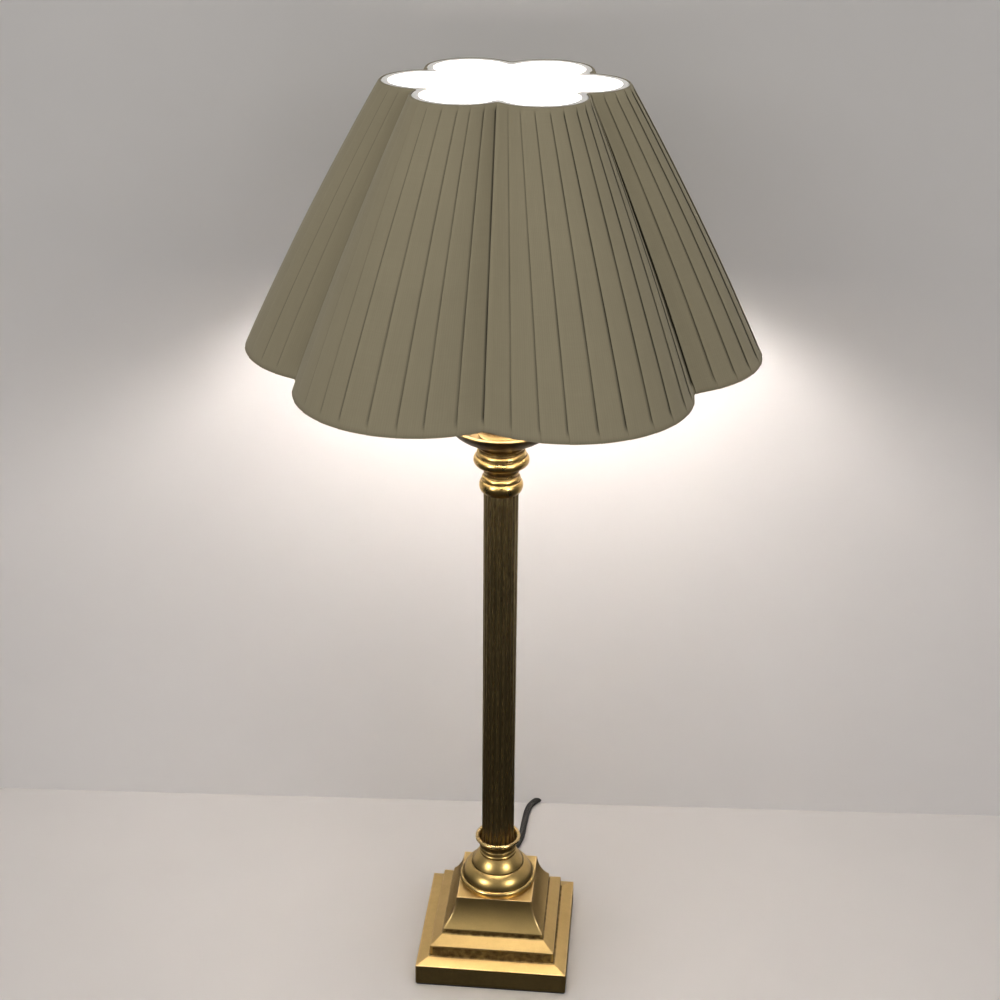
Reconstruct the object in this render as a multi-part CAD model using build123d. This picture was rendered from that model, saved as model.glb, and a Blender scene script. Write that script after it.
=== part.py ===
from build123d import *
from math import atan, atan2, cos, hypot, pi, radians, sin, sqrt, tan
import os

# A candlestick table lamp: a stepped square foot, a fluted column between turned knops, a drip pan,
# a screw lampholder and a six-lobed pleated shade. Sizes are in millimetres. The column's axis is Z,
# the felt under the foot rests on z = 0 and the front of the foot faces -Y.

# Square foot: half widths across the flats, and heights
felt_thickness = 1.5
cover_thickness = 2.0
base_half = 63.5
base_face_top = 19.6
step_half = 52.3
step_bottom = 22.7
step_face_top = 32.7
plinth_half = 42.3
plinth_bottom = 39.4
cavetto_bottom = 43.7
cavetto_hollow = 2.0
plinth_top_half = 31.9
plinth_top = 69.5
wall = 4.0
weight_ledge = 30.0
web_underside = 60.0
cover_rebate_half = 60.7
corner_boss_at = 53.0
corner_boss_radius = 4.5
weight_half = 46.0
weight_bottom = 14.0
weight_bore = 26.0
weight_screw_at = 43.0
screw_radius = 2.0
play = 0.1

# Threaded rod and what it clamps
rod_radius = 5.0
rod_bore = 3.5
rod_bottom = 46.0
rod_top = 530.0
rod_hole = 5.15

# Turned parts on the column
collar_bottom = 97.0
collar_floor = 108.0
collar_lip_top = 114.0
collar_lip_radius = 19.15
column_radius = 13.5
column_bore = 11.4
column_top = 436.0
flute_count = 20
flute_depth = 0.9
flute_share = 0.76
bush_height = 6.0
lower_knop_top = 452.6
upper_knop_top = 473.6
pan_rim_radius = 41.8
pan_rim_top = 494.7
pan_floor = 481.6

# Lampholder
cup_top = 530.0
holder_bottom = 528.0
holder_radius = 19.0
holder_wall = 1.2
holder_cap_top = 545.0
shoulder_top = 580.0
shoulder_radius = 24.0
switch_height = 556.0
switch_travel = 6.0
switch_bar_radius = 2.2
barrel_top = 600.0
barrel_radius = 19.4
insert_radius = 17.4
insert_bottom = 568.0
insert_floor = 574.0
switch_block_bottom = 546.5

# Bulb
bulb_tip_bottom = 577.0
bulb_cap_radius = 13.2
thread_pitch = 3.6
bulb_top = 684.0
bulb_radius = 30.0

# Shade: six lobes meet in cusps, one of them at the front
lobes = 6
shade_turn = 1.0
shade_top = 749.5
shade_bottom = 553.5
top_cusp = 67.9
top_lobe = 88.0
bottom_cusp = 161.0
bottom_lobe = 191.7
shade_bow = 3.0
pleats_per_lobe = 10
pleat_step = 1.2
fabric_inner = 2.2
wire_radius = 1.5
wire_inset = 4.4
lining_outer = 6.6
lining_inner = 7.3
cusp_round = 3.0
low_wire = shade_bottom + 2.4
high_wire = shade_top - 2.4
arm_height = 581.2
arm_rise = 14.0
arm_radius = 1.15
ring_inner = 19.5
ring_outer = 25.0
ring_thickness = 2.4

# Cord
cord_radius = 3.0
inner_flex_radius = 2.8
cord_height = 9.5
relief_length = 30.0
coil_center = (74.0, 271.0)
coil_lift = 1.0
coil_radius = 36.3
coil_turns = 7.25
coil_tail = 18.0
coil_pitch = 6.6
plug_body_size = (50.0, 46.0, 20.0)
plug_relief_length = 26.0
pin_spacing = 22.2


def outline(start, *steps):
    """Closed face in (radius, height). A step is an end point, or (mid point, end point) for an arc."""
    edges = []
    here = start
    for step in steps:
        if isinstance(step[0], tuple):
            edges.append(ThreePointArc(here, step[0], step[1]))
            here = step[1]
        else:
            edges.append(Line(here, step))
            here = step
    edges.append(Line(here, start))
    return make_face(edges)


def turned(start, *steps):
    return revolve(Plane.XZ * outline(start, *steps), Axis.Z)


def ring(outer, inner, bottom, top):
    """Flat washer or plain tube round the axis."""
    return turned((inner, bottom), (outer, bottom), (outer, top), (inner, top))


def peg(radius, x, y, bottom, top):
    return Pos(x, y, bottom) * extrude(Circle(radius), top - bottom)


def four_corners(at):
    return [(x, y) for x in (-at, at) for y in (-at, at)]


# ---- Foot ----

def square_moulding(*right_side):
    """Square block whose four sides carry one profile, mitred at the corners."""
    first = right_side[0]
    last = right_side[-1][1] if isinstance(right_side[-1][0], tuple) else right_side[-1]
    half = outline((0, first[1]), *right_side, (0, last[1]))
    bar = extrude(Plane.XZ * (half + mirror(half, Plane.YZ)), base_half + 1, both=True)
    return bar & Rot(0, 0, 90) * bar


def cavetto_middle():
    """Point halfway up the hollow moulding, pulled in from its chord."""
    run = plinth_top_half - plinth_half
    rise = plinth_top - cavetto_bottom
    length = hypot(run, rise)
    x = (plinth_half + plinth_top_half) / 2 - cavetto_hollow * rise / length
    z = (cavetto_bottom + plinth_top) / 2 + cavetto_hollow * run / length
    return (x, z)


def base_casting():
    outside = square_moulding(
        (base_half, felt_thickness), (base_half, base_face_top),
        (step_half, step_bottom), (step_half, step_face_top),
        (plinth_half, plinth_bottom), (plinth_half, cavetto_bottom),
        (cavetto_middle(), (plinth_top_half, plinth_top)))
    ledge = felt_thickness + cover_thickness
    hollow = square_moulding(
        (cover_rebate_half, felt_thickness - 1), (cover_rebate_half, ledge),
        (base_half - wall, ledge), (base_half - wall, base_face_top - wall),
        (step_half - wall, step_bottom - wall), (step_half - wall, weight_ledge),
        (plinth_half - wall, weight_ledge), (plinth_half - wall, plinth_bottom),
        (plinth_top_half - wall, web_underside))
    casting = outside - hollow
    for x, y in four_corners(corner_boss_at):
        casting += peg(corner_boss_radius, x, y, ledge, base_face_top - 1)
    for x, y in four_corners(corner_boss_at):
        casting -= peg(screw_radius + play, x, y, 0, 13)
    for x, y in four_corners(weight_screw_at):
        casting -= peg(screw_radius + play, x, y, weight_ledge - 1, 36.5)
    casting -= peg(rod_hole, 0, 0, web_underside - 1, plinth_top + 1)
    cord_hole = Pos(0, base_half - 2 * wall, cord_height) * Rot(-90, 0, 0) * extrude(Circle(4.4), 3 * wall)
    return casting - cord_hole


def felt_pad():
    return Pos(0, 0, felt_thickness / 2) * Box(2 * base_half - 2, 2 * base_half - 2, felt_thickness)


def bottom_cover():
    side = 2 * cover_rebate_half - 0.4
    plate = Pos(0, 0, felt_thickness + cover_thickness / 2) * Box(side, side, cover_thickness)
    for x, y in four_corners(corner_boss_at):
        plate -= peg(screw_radius + play, x, y, 0, 5)
        plate -= Pos(x, y, felt_thickness + 0.5) * Cylinder(4.1, 1.001)
    return plate


def cover_screws():
    head = felt_thickness + 0.9
    return [peg(4.0, x, y, felt_thickness, head) + peg(screw_radius, x, y, head, 12.5)
            for x, y in four_corners(corner_boss_at)]


def base_weight():
    plate = Pos(0, 0, (weight_bottom + weight_ledge) / 2) * Box(
        2 * weight_half, 2 * weight_half, weight_ledge - weight_bottom)
    plate -= peg(weight_bore, 0, 0, weight_bottom - 1, weight_ledge + 1)
    for x, y in four_corners(weight_screw_at):
        plate -= peg(screw_radius + play, x, y, weight_bottom - 1, weight_ledge + 1)
    return plate


def weight_screws():
    return [peg(3.6, x, y, weight_bottom - 3, weight_bottom) + peg(screw_radius, x, y, weight_bottom, 36)
            for x, y in four_corners(weight_screw_at)]


def cord_grommet():
    """Strain relief: a flange each side of the rear wall and a tapered sleeve, with the flex's bore."""
    inside = base_half - wall
    tip = base_half + relief_length
    face = outline(
        (3.0, inside - 2), (5.8, inside - 2), (5.8, inside), (4.3, inside), (4.3, base_half),
        (6.2, base_half), (6.2, base_half + 1.6), ((5.7, base_half + 2.7), (4.9, base_half + 3.2)),
        (3.8, tip), (3.0, tip))
    return Pos(0, 0, cord_height) * revolve(face, Axis.Y)


# ---- Rod and column ----

def threaded_rod():
    return ring(rod_radius, rod_bore, rod_bottom, rod_top)


def clamp_washer():
    return ring(16.0, rod_hole, web_underside - 2, web_underside)


def earth_tag():
    eyelet = ring(8.0, rod_hole, web_underside - 2.8, web_underside - 2)
    tab = Pos(10.5, 0, web_underside - 2.4) * Box(7, 5, 0.8)
    return eyelet + tab


def clamp_nut():
    bottom = web_underside - 10.8
    return Pos(0, 0, bottom) * extrude(RegularPolygon(9.8, 6) - Circle(rod_hole), 8.0)


def earth_wire():
    """Short lead from the flex up to the earth tag."""
    path = FilletPolyline((inner_flex_radius + 1.6, 0, 30), (12.5, 0, 40), (12.5, 0, web_underside - 2.8),
                          radius=6)
    start = Plane(origin=path @ 0, z_dir=path % 0)
    return sweep(start * Circle(0.9), path)


def base_bell():
    """Domed boss in two steps, over a rounded rim that is undercut where it meets the plinth."""
    low = plinth_top
    return turned(
        (rod_hole, low), (30.4, low), (30.4, low + 1.4), ((32.1, low + 3.4), (30.9, low + 5.6)),
        (30.0, low + 5.8), ((27.6, low + 12.6), (22.4, low + 17.4)), (21.9, low + 17.3),
        (21.8, low + 17.9), ((19.4, low + 22.8), (15.4, collar_bottom)), (rod_hole, collar_bottom))


def foot_collar():
    """Two small rings and an open cup with a thick rounded lip that flares round the foot of the column."""
    low = collar_bottom
    lip = collar_lip_radius
    return turned(
        (rod_hole, low), (14.9, low), ((15.9, low + 1.6), (14.9, low + 3.2)), (14.2, low + 3.5),
        (14.2, low + 4.2), ((15.5, low + 5.4), (14.8, low + 6.9)), ((15.2, low + 10.0), (17.9, low + 13.4)),
        ((lip, low + 15.4), (17.7, collar_lip_top)), ((16.1, low + 16.2), (15.7, low + 14.4)),
        ((15.0, low + 12.9), (column_radius + 0.3, low + 12.0)),
        (column_radius + 0.3, collar_floor), (rod_hole, collar_floor))


def column_tube():
    """Tube with concave flutes. Each flute is an arc between two narrow flats of the full radius."""
    pitch = 2 * pi / flute_count
    half_flute = pitch * flute_share / 2

    def at(angle, radius):
        return (radius * cos(angle), radius * sin(angle))

    edges = []
    for k in range(flute_count):
        middle = k * pitch
        edges.append(ThreePointArc(at(middle - half_flute, column_radius),
                                   at(middle, column_radius - flute_depth),
                                   at(middle + half_flute, column_radius)))
        edges.append(ThreePointArc(at(middle + half_flute, column_radius),
                                   at(middle + pitch / 2, column_radius),
                                   at(middle + pitch - half_flute, column_radius)))
    section = make_face(edges) - Circle(column_bore)
    return Pos(0, 0, collar_floor) * extrude(section, column_top - collar_floor)


def column_bush(bottom):
    return ring(column_bore, rod_hole, bottom, bottom + bush_height)


def lower_knop():
    low = column_top
    return turned(
        (rod_hole, low), (14.2, low), ((17.1, low + 4.9), (15.7, low + 9.9)), (15.1, low + 10.3),
        (15.0, low + 10.9), ((14.7, low + 12.8), (13.5, low + 14.2)),
        ((13.1, low + 15.3), (13.7, lower_knop_top)), (rod_hole, lower_knop_top))


def upper_knop():
    low = lower_knop_top
    return turned(
        (rod_hole, low), (13.7, low), ((15.5, low + 4.4), (19.7, low + 6.8)),
        ((21.6, low + 10.0), (20.1, low + 13.9)), (19.4, low + 14.3),
        (19.2, low + 14.9), ((18.9, low + 17.0), (17.3, low + 18.8)),
        ((17.0, low + 19.9), (17.5, upper_knop_top)), (rod_hole, upper_knop_top))


def drip_pan():
    """Shallow bowl that flares from a short neck to a rolled rim, with a flat floor inside."""
    low = upper_knop_top
    rim = pan_rim_radius
    return turned(
        (rod_hole, low), (17.5, low), ((19.4, low + 3.4), (24.0, low + 6.4)),
        ((35.5, low + 12.2), (rim - 0.6, pan_rim_top - 2.2)),
        ((rim, pan_rim_top - 1.0), (rim - 0.9, pan_rim_top)),
        (rim - 2.4, pan_rim_top), ((34.0, low + 13.5), (24.0, pan_floor)), (rod_hole, pan_floor))


def candle_cup():
    """Baluster between the pan and the lampholder, with a socket for the lampholder's cap."""
    low = pan_floor
    return turned(
        (rod_hole, low), (17.5, low), (17.5, low + 2.6), ((14.8, low + 4.2), (13.0, low + 7.0)),
        ((15.8, low + 22.0), (13.2, low + 34.0)), (14.2, low + 35.2), (14.2, low + 37.0),
        ((15.4, low + 41.0), (18.6, low + 44.4)), ((19.6, low + 46.8), (18.6, cup_top)), (16.4, cup_top),
        (16.4, holder_bottom), (rod_hole, holder_bottom))


# ---- Lampholder ----

def holder_cap():
    """Dished cap that screws on the rod and carries the body of the lampholder."""
    low = holder_bottom
    thick = holder_wall
    return turned(
        (rod_hole, low), (9.0, low), (9.0, low + 3.0), ((15.6, low + 6.0), (holder_radius, low + 12.0)),
        (holder_radius, holder_cap_top), (holder_radius - thick, holder_cap_top),
        (holder_radius - thick, low + 12.5), ((14.6, low + 7.4), (9.0, low + 4.4)), (rod_hole, low + 4.4))


def rod_locknut():
    return Pos(0, 0, holder_bottom + 4.4) * extrude(RegularPolygon(8.4, 6) - Circle(rod_hole), 3.4)


def lampholder_body():
    """Sleeve with a shoulder for the shade ring, a threaded barrel above it and holes for the switch."""
    body = turned(
        (holder_radius - holder_wall, holder_cap_top), (holder_radius, holder_cap_top),
        (holder_radius, shoulder_top - 4), ((20.4, shoulder_top - 2.4), (shoulder_radius, shoulder_top - 2)),
        (shoulder_radius, shoulder_top), (barrel_radius, shoulder_top), (barrel_radius, barrel_top),
        (insert_radius + play, barrel_top), (insert_radius + play, holder_cap_top + 1.4),
        (holder_radius - holder_wall, holder_cap_top + 1.4))
    hole = Pos(0, 0, switch_height) * Rot(0, 90, 0) * Cylinder(switch_bar_radius + play, 60)
    return body - hole


def switch_block():
    """Moulded block that guides the push bar and carries the terminals."""
    block = peg(insert_radius, 0, 0, switch_block_bottom, insert_bottom)
    return block - Pos(0, 0, switch_height) * Rot(0, 90, 0) * Cylinder(switch_bar_radius + play, 60)


def switch_bar():
    """Push bar through the lampholder, a button on each end, shown pushed towards -X."""
    clear = holder_radius + 0.4
    bar = Rot(0, 90, 0) * Cylinder(switch_bar_radius, 2 * clear + switch_travel)
    button = Rot(0, 90, 0) * Cylinder(3.4, 4.0)
    reach = clear + switch_travel / 2 + 2.0
    whole = bar + Pos(reach, 0, 0) * button + Pos(-reach, 0, 0) * button
    return Pos(-switch_travel / 2, 0, switch_height) * whole


def socket_insert():
    """Porcelain cup that holds the threaded shell."""
    return turned((0, insert_bottom), (insert_radius, insert_bottom), (insert_radius, barrel_top),
                  (14.7, barrel_top), (14.7, insert_floor), (0, insert_floor))


def socket_thread():
    """Threaded shell, its rounded thread drawn as rings."""
    bottom = insert_floor + 2
    top = barrel_top - 2
    inner = 14.0
    rings = [((inner - 0.3, bottom + thread_pitch * (k + 0.5)), (inner, bottom + thread_pitch * (k + 1)))
             for k in range(6)]
    return turned((14.6, bottom), (inner, bottom), *rings, (inner, top), (14.6, top))


def centre_contact():
    """Tongue on the porcelain with the stud that the bulb's tip presses."""
    tongue = Pos(0, 0, insert_floor + 0.3) * Box(9, 4, 0.6)
    return tongue + peg(2.0, 0, 0, insert_floor, bulb_tip_bottom)


def shade_ring():
    """Knurled ring that screws down on the shade's gallery."""
    bottom = arm_height + ring_thickness / 2
    body = ring(23.4, barrel_radius + play, bottom, bottom + 7.0)
    for k in range(24):
        notch = Pos(24.1, 0, bottom + 3.5) * Cylinder(1.2, 7.2)
        body -= Rot(0, 0, k * 360 / 24) * notch
    return body


# ---- Bulb ----

def bulb_cap():
    low = bulb_tip_bottom + 3.6
    first = low + 1.0
    top = low + 22.0
    root = bulb_cap_radius - 0.6
    rings = [((bulb_cap_radius, first + thread_pitch * (k + 0.5)), (root, first + thread_pitch * (k + 1)))
             for k in range(5)]
    return turned((0, low), (9.0, low), (root, first), *rings, (root, top), (0, top))


def bulb_insulator():
    low = bulb_tip_bottom + 1.2
    return turned((0, low), (4.6, low), (9.0, bulb_tip_bottom + 3.6), (0, bulb_tip_bottom + 3.6))


def bulb_tip():
    low = bulb_tip_bottom
    return turned((0, low), (3.0, low), ((4.0, low + 0.5), (4.4, low + 1.2)), (0, low + 1.2))


def bulb_form(inset):
    """Globe on a waisted neck, its wall moved in by inset."""
    low = bulb_tip_bottom + 25.6 + inset
    center = bulb_top - bulb_radius
    radius = bulb_radius - inset
    foot = 12.6 - inset
    joint = (radius * cos(radians(-28)), center + radius * sin(radians(-28)))
    shoulder = (radius * cos(radians(31)), center + radius * sin(radians(31)))
    neck = ((foot + joint[0]) / 2 - 0.5, (low + 3 + joint[1]) / 2)
    return turned((0, low), (foot, low), (foot, low + 3), (neck, joint), (shoulder, (0, center + radius)))


def bulb_glass():
    return bulb_form(0) - bulb_form(1.1)


# ---- Shade ----

def lobe_circle(cusp, lobe):
    """Where a lobe's centre lies and its radius, from the rim's smallest and largest radius."""
    half_chord = cusp * sin(pi / lobes)
    chord_at = cusp * cos(pi / lobes)
    depth = lobe - chord_at
    radius = (half_chord ** 2 + depth ** 2) / (2 * depth)
    return lobe - radius, radius


def rim(level):
    """Lobe centre distance and radius at a level from 0, the bottom rim, to 1, the top rim."""
    cusp = bottom_cusp + (top_cusp - bottom_cusp) * level
    lobe = bottom_lobe + (top_lobe - bottom_lobe) * level
    bow = shade_bow * 4 * level * (1 - level)
    return lobe_circle(cusp + bow, lobe + bow)


def level_height(level):
    return shade_bottom + (shade_top - shade_bottom) * level


def height_level(height):
    return (height - shade_bottom) / (shade_top - shade_bottom)


def polar(radius, angle):
    return (radius * cos(angle), radius * sin(angle))


def shifted(point, reach, angle):
    return (point[0] + reach * cos(angle), point[1] + reach * sin(angle))


def cusp_angle(k):
    return radians(shade_turn) - pi / 2 + 2 * pi * k / lobes


def on_lobe(k, share, center, radius):
    """Point on lobe k, share 0 to 1 of the way from cusp k to cusp k + 1."""
    axis = cusp_angle(k) + pi / lobes
    reach = cusp_reach(center, radius)
    swing = atan2(reach * sin(pi / lobes), reach * cos(pi / lobes) - center)
    turn = swing * (2 * share - 1)
    x = center + radius * cos(turn)
    y = radius * sin(turn)
    return (x * cos(axis) - y * sin(axis), x * sin(axis) + y * cos(axis))


def cusp_reach(center, radius):
    """Distance from the axis at which two neighbouring lobe circles cross."""
    return center * cos(pi / lobes) + sqrt(radius ** 2 - (center * sin(pi / lobes)) ** 2)


def lobed_face(level, inset):
    """Level section of the shade, set in from its outer face, its cusps rounded."""
    return Pos(0, 0, level_height(level)) * make_face(lobed_edges(level, inset))


def rounded_cusp(level, inset):
    """Distance from the axis to the centre of the small arc that rounds a cusp."""
    center, radius = rim(level)
    return cusp_reach(center, radius - inset + cusp_round)


def lobed_edges(level, inset):
    center, radius = rim(level)
    radius -= inset
    hub = rounded_cusp(level, inset)
    swing = atan2(hub * sin(pi / lobes), hub * cos(pi / lobes) - center)
    edges = []
    for k in range(lobes):
        axis = cusp_angle(k) + pi / lobes
        middle = polar(center, axis)
        after = axis + 2 * pi / lobes
        ends = [shifted(polar(center, axis), radius, axis + s) for s in (-swing, 0, swing)]
        edges.append(ThreePointArc(*ends))
        inner = polar(hub - cusp_round, cusp_angle(k + 1))
        away = shifted(polar(center, after), radius, after - swing)
        edges.append(ThreePointArc(ends[2], inner, away))
    return edges


def pleated_face(level):
    """Level section whose edge is a saw: each pleat starts at a fold and falls back to the next one."""
    center, radius = rim(level)
    points = []
    for k in range(lobes):
        for p in range(pleats_per_lobe):
            share = p / pleats_per_lobe
            points.append(on_lobe(k, share, center, radius - pleat_step))
            points.append(on_lobe(k, share + 0.004, center, radius))
    return Pos(0, 0, level_height(level)) * make_face(Polyline(*points, close=True))


def shell_between(outer_face, inner_face):
    """Cloth wall between two stacks of sections."""
    levels = (0, 0.5, 1)
    outer = loft([outer_face(level) for level in levels], ruled=True)
    inner = loft([inner_face(level) for level in levels], ruled=True)
    return outer - inner


def shade_fabric():
    return shell_between(pleated_face, lambda level: lobed_face(level, fabric_inner))


def shade_lining():
    """Smooth inner skin, slit where the arms pass through it."""
    skin = shell_between(lambda level: lobed_face(level, lining_outer),
                         lambda level: lobed_face(level, lining_inner))
    for rod in arm_rods(arm_radius + 0.3):
        skin -= rod
    return skin


def rim_wire(height):
    """Wire bent to the lobed outline."""
    path = Pos(0, 0, height) * Wire(lobed_edges(height_level(height), wire_inset))
    start = Plane(origin=path @ 0, z_dir=path % 0)
    return sweep(start * Circle(wire_radius), path)


def strut_point(k, height):
    """On a cusp's ray, halfway between the cloth and the lining."""
    level = height_level(height)
    reach = (rounded_cusp(level, fabric_inner) + rounded_cusp(level, lining_outer)) / 2 - cusp_round
    return polar(reach, cusp_angle(k)) + (height,)


def shade_struts():
    """Six wires down the cusps, from the top wire to the bottom wire, bowed as the cloth is."""
    middle = level_height(0.5)
    struts = []
    for k in range(lobes):
        path = ThreePointArc(*[strut_point(k, height) for height in (low_wire, middle, high_wire)])
        start = Plane(origin=path @ 0, z_dir=path % 0)
        struts.append(sweep(start * Circle(wire_radius - 0.1), path))
    return struts


def arm_rods(radius):
    """Three rods, flat at the gallery and rising a little to every other strut."""
    rods = []
    for k in (0, 2, 4):
        start = polar(ring_outer - 0.6, cusp_angle(k)) + (arm_height,)
        bend = polar(48, cusp_angle(k)) + (arm_height,)
        path = FilletPolyline(start, bend, strut_point(k, arm_height + arm_rise), radius=20)
        plane = Plane(origin=path @ 0, z_dir=path % 0)
        rods.append(sweep(plane * Circle(radius), path))
    return rods


def shade_arms():
    return arm_rods(arm_radius)


def shade_gallery():
    """Flat ring that rests on the lampholder's shoulder."""
    return ring(ring_outer, ring_inner, shoulder_top, arm_height + ring_thickness / 2)


# ---- Cord ----

def inner_flex():
    """Flex from the strain relief's tip through the foot and up the rod to the switch block."""
    path = FilletPolyline((0, base_half + relief_length, cord_height), (0, 0, cord_height),
                          (0, 0, switch_block_bottom), radius=22)
    start = Plane(origin=path @ 0, z_dir=path % 0)
    return sweep(start * Circle(inner_flex_radius), path)


coil_slope = coil_pitch / (2 * pi)
coil_angle = 2 * pi * coil_turns
climb_start = (coil_angle - pi) / 2
coil_inner = coil_radius - coil_slope * climb_start / 2
coil_outer = coil_inner + coil_slope * climb_start
coil_first_angle = -pi / 2 - atan(coil_slope / coil_outer)


def coil_point(turned_by):
    """Spiral in on the lower layer, climb in half a turn while it reverses, spiral out on the upper one."""
    low = cord_radius + coil_lift
    along = turned_by - climb_start
    if along < 0:
        radius = coil_inner - coil_slope * along
        height = low
    elif along > pi:
        radius = coil_inner + coil_slope * (along - pi)
        height = low + coil_pitch
    else:
        radius = coil_inner - coil_slope * along * (1 - along / pi)
        height = low + coil_pitch * (1 - cos(along)) / 2
    angle = coil_first_angle + turned_by
    return Vector(coil_center[0] + radius * cos(angle), coil_center[1] + radius * sin(angle), height)


def coil_tangent(turned_by):
    small = 1e-4
    start = max(turned_by - small, 0)
    end = min(turned_by + small, coil_angle)
    return (coil_point(end) - coil_point(start)).normalized()


def biarc(start, start_way, end, end_way):
    """Two arcs that leave start along start_way and reach end along end_way."""
    gap = end - start
    ways = start_way + end_way
    spread = 2 * (1 - start_way.dot(end_way))
    reach = (-gap.dot(ways) + sqrt(gap.dot(ways) ** 2 + spread * gap.dot(gap))) / spread
    joint = (start + end + (start_way - end_way) * reach) * 0.5
    joint_way = (end - end_way * reach - start - start_way * reach).normalized()
    return [Edge.make_tangent_arc(start, start_way, joint), Edge.make_tangent_arc(joint, joint_way, end)]


def coil_path():
    quarters = 4 * coil_turns
    stops = [coil_angle * k / quarters for k in range(int(quarters) + 1)]
    edges = [Edge.make_line(coil_start(), coil_point(0))]
    for here, there in zip(stops, stops[1:]):
        edges += biarc(coil_point(here), coil_tangent(here), coil_point(there), coil_tangent(there))
    edges.append(Edge.make_line(coil_point(coil_angle), coil_end()))
    return Wire(edges)


def coil_start():
    return coil_point(0) - coil_tangent(0) * 2 * cord_radius


def coil_end():
    return coil_point(coil_angle) + coil_tangent(coil_angle) * coil_tail


def cord_coil():
    path = coil_path()
    start = Plane(origin=path @ 0, z_dir=path % 0)
    solid = sweep(start * Circle(cord_radius), path)
    print("coil length", round(path.length, 1), "volume over section times length", fullness(solid, path),
          "least gap", round(least_gap(path), 2))
    return solid


def fullness(solid, path):
    return round(solid.volume / (pi * cord_radius ** 2 * path.length), 4)


def least_gap(path):
    """Smallest distance between the surfaces of two stretches of the coil, measured on points along it."""
    count = 900
    points = [path @ (k / count) for k in range(count + 1)]
    step = path.length / count
    apart = int(6 * cord_radius / step) + 1
    gap = 1e9
    for i, point in enumerate(points):
        for other in points[i + apart:]:
            gap = min(gap, (other - point).length)
    return gap - 2 * cord_radius


def cord_points():
    """Route by hand: out of the relief, down to the table, back behind the foot and round to the coil."""
    end = coil_start()
    return [
        (0.0, base_half + relief_length, cord_height), (0.0, 108.0, cord_height), (4.0, 126.0, 4.4),
        (9.4, 145.0, 3.0), (10.2, 166.0, 3.0), (11.2, 187.0, 3.0), (14.2, 203.0, 3.0), (26.0, 215.5, 3.2),
        (end.X - 21.0, end.Y, end.Z), (end.X, end.Y, end.Z)]


def cord():
    points = [Vector(*p) for p in cord_points()]
    radii = []
    for before, here, after in zip(points, points[1:], points[2:]):
        turn = radians((here - before).get_angle(after - here))
        shorter = min((here - before).length, (after - here).length)
        radii.append(0.45 * shorter / tan(turn / 2))
    path = FilletPolyline(*points, radius=radii)
    start = Plane(origin=path @ 0, z_dir=path % 0)
    solid = sweep(start * Circle(cord_radius), path)
    print("cord radii", [round(r) for r in radii], "length", round(path.length, 1),
          "volume over section times length", fullness(solid, path))
    return solid


def cord_tie():
    """Flat strap round the turns on the side of the coil away from the plug."""
    width = 12.0
    strap = 0.8
    inside = sqrt((coil_inner - coil_pitch / 4) ** 2 - (width / 2) ** 2) - cord_radius - 0.6
    outside = coil_outer + cord_radius + 0.5
    top = 2 * cord_radius + coil_pitch + coil_lift + 0.2
    middle = (inside + outside) / 2
    outer = Box(outside - inside + 2 * strap, width, top + strap - 0.05)
    inner = Box(outside - inside, width + 1, top - 0.05 - strap)
    band = Pos(-middle, 0, (top + strap + 0.05) / 2) * (outer - inner)
    return Pos(coil_center[0], coil_center[1], 0) * band


def plug_place():
    """Plane at the coil's end: X across the plug, Y onwards along the cord."""
    end = coil_end()
    way = coil_tangent(coil_angle)
    across = Vector(way.Y, -way.X, 0)
    return Plane(origin=(end.X, end.Y, 0), x_dir=across, z_dir=(0, 0, 1))


def plug_strain_relief():
    axis_height = cord_radius + coil_lift + coil_pitch
    face = outline((0, 0), (3.6, 0), (5.4, plug_relief_length), (0, plug_relief_length))
    return plug_place() * (Pos(0, 0, axis_height) * revolve(face, Axis.Y))


def plug_body():
    """Three-pin plug that lies on its back, the pins up."""
    width, depth, height = plug_body_size
    block = Pos(0, plug_relief_length + depth / 2, height / 2) * Box(width, depth, height)
    block = fillet(block.edges().filter_by(Axis.Z), 12)
    block = chamfer(block.faces().sort_by(Axis.Z)[-1].edges(), 1.2)
    return plug_place() * block


def plug_pins():
    """Earth pin beyond the live and neutral pins."""
    width, depth, height = plug_body_size
    near = plug_relief_length + 12.0
    blocks = [(-pin_spacing / 2, near, 6.4, 4.0, 17.7), (pin_spacing / 2, near, 6.4, 4.0, 17.7),
              (0, near + pin_spacing, 4.0, 8.0, 22.7)]
    return [plug_place() * (Pos(x, y, height + tall / 2) * Box(wide, thick, tall))
            for x, y, wide, thick, tall in blocks]


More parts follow.
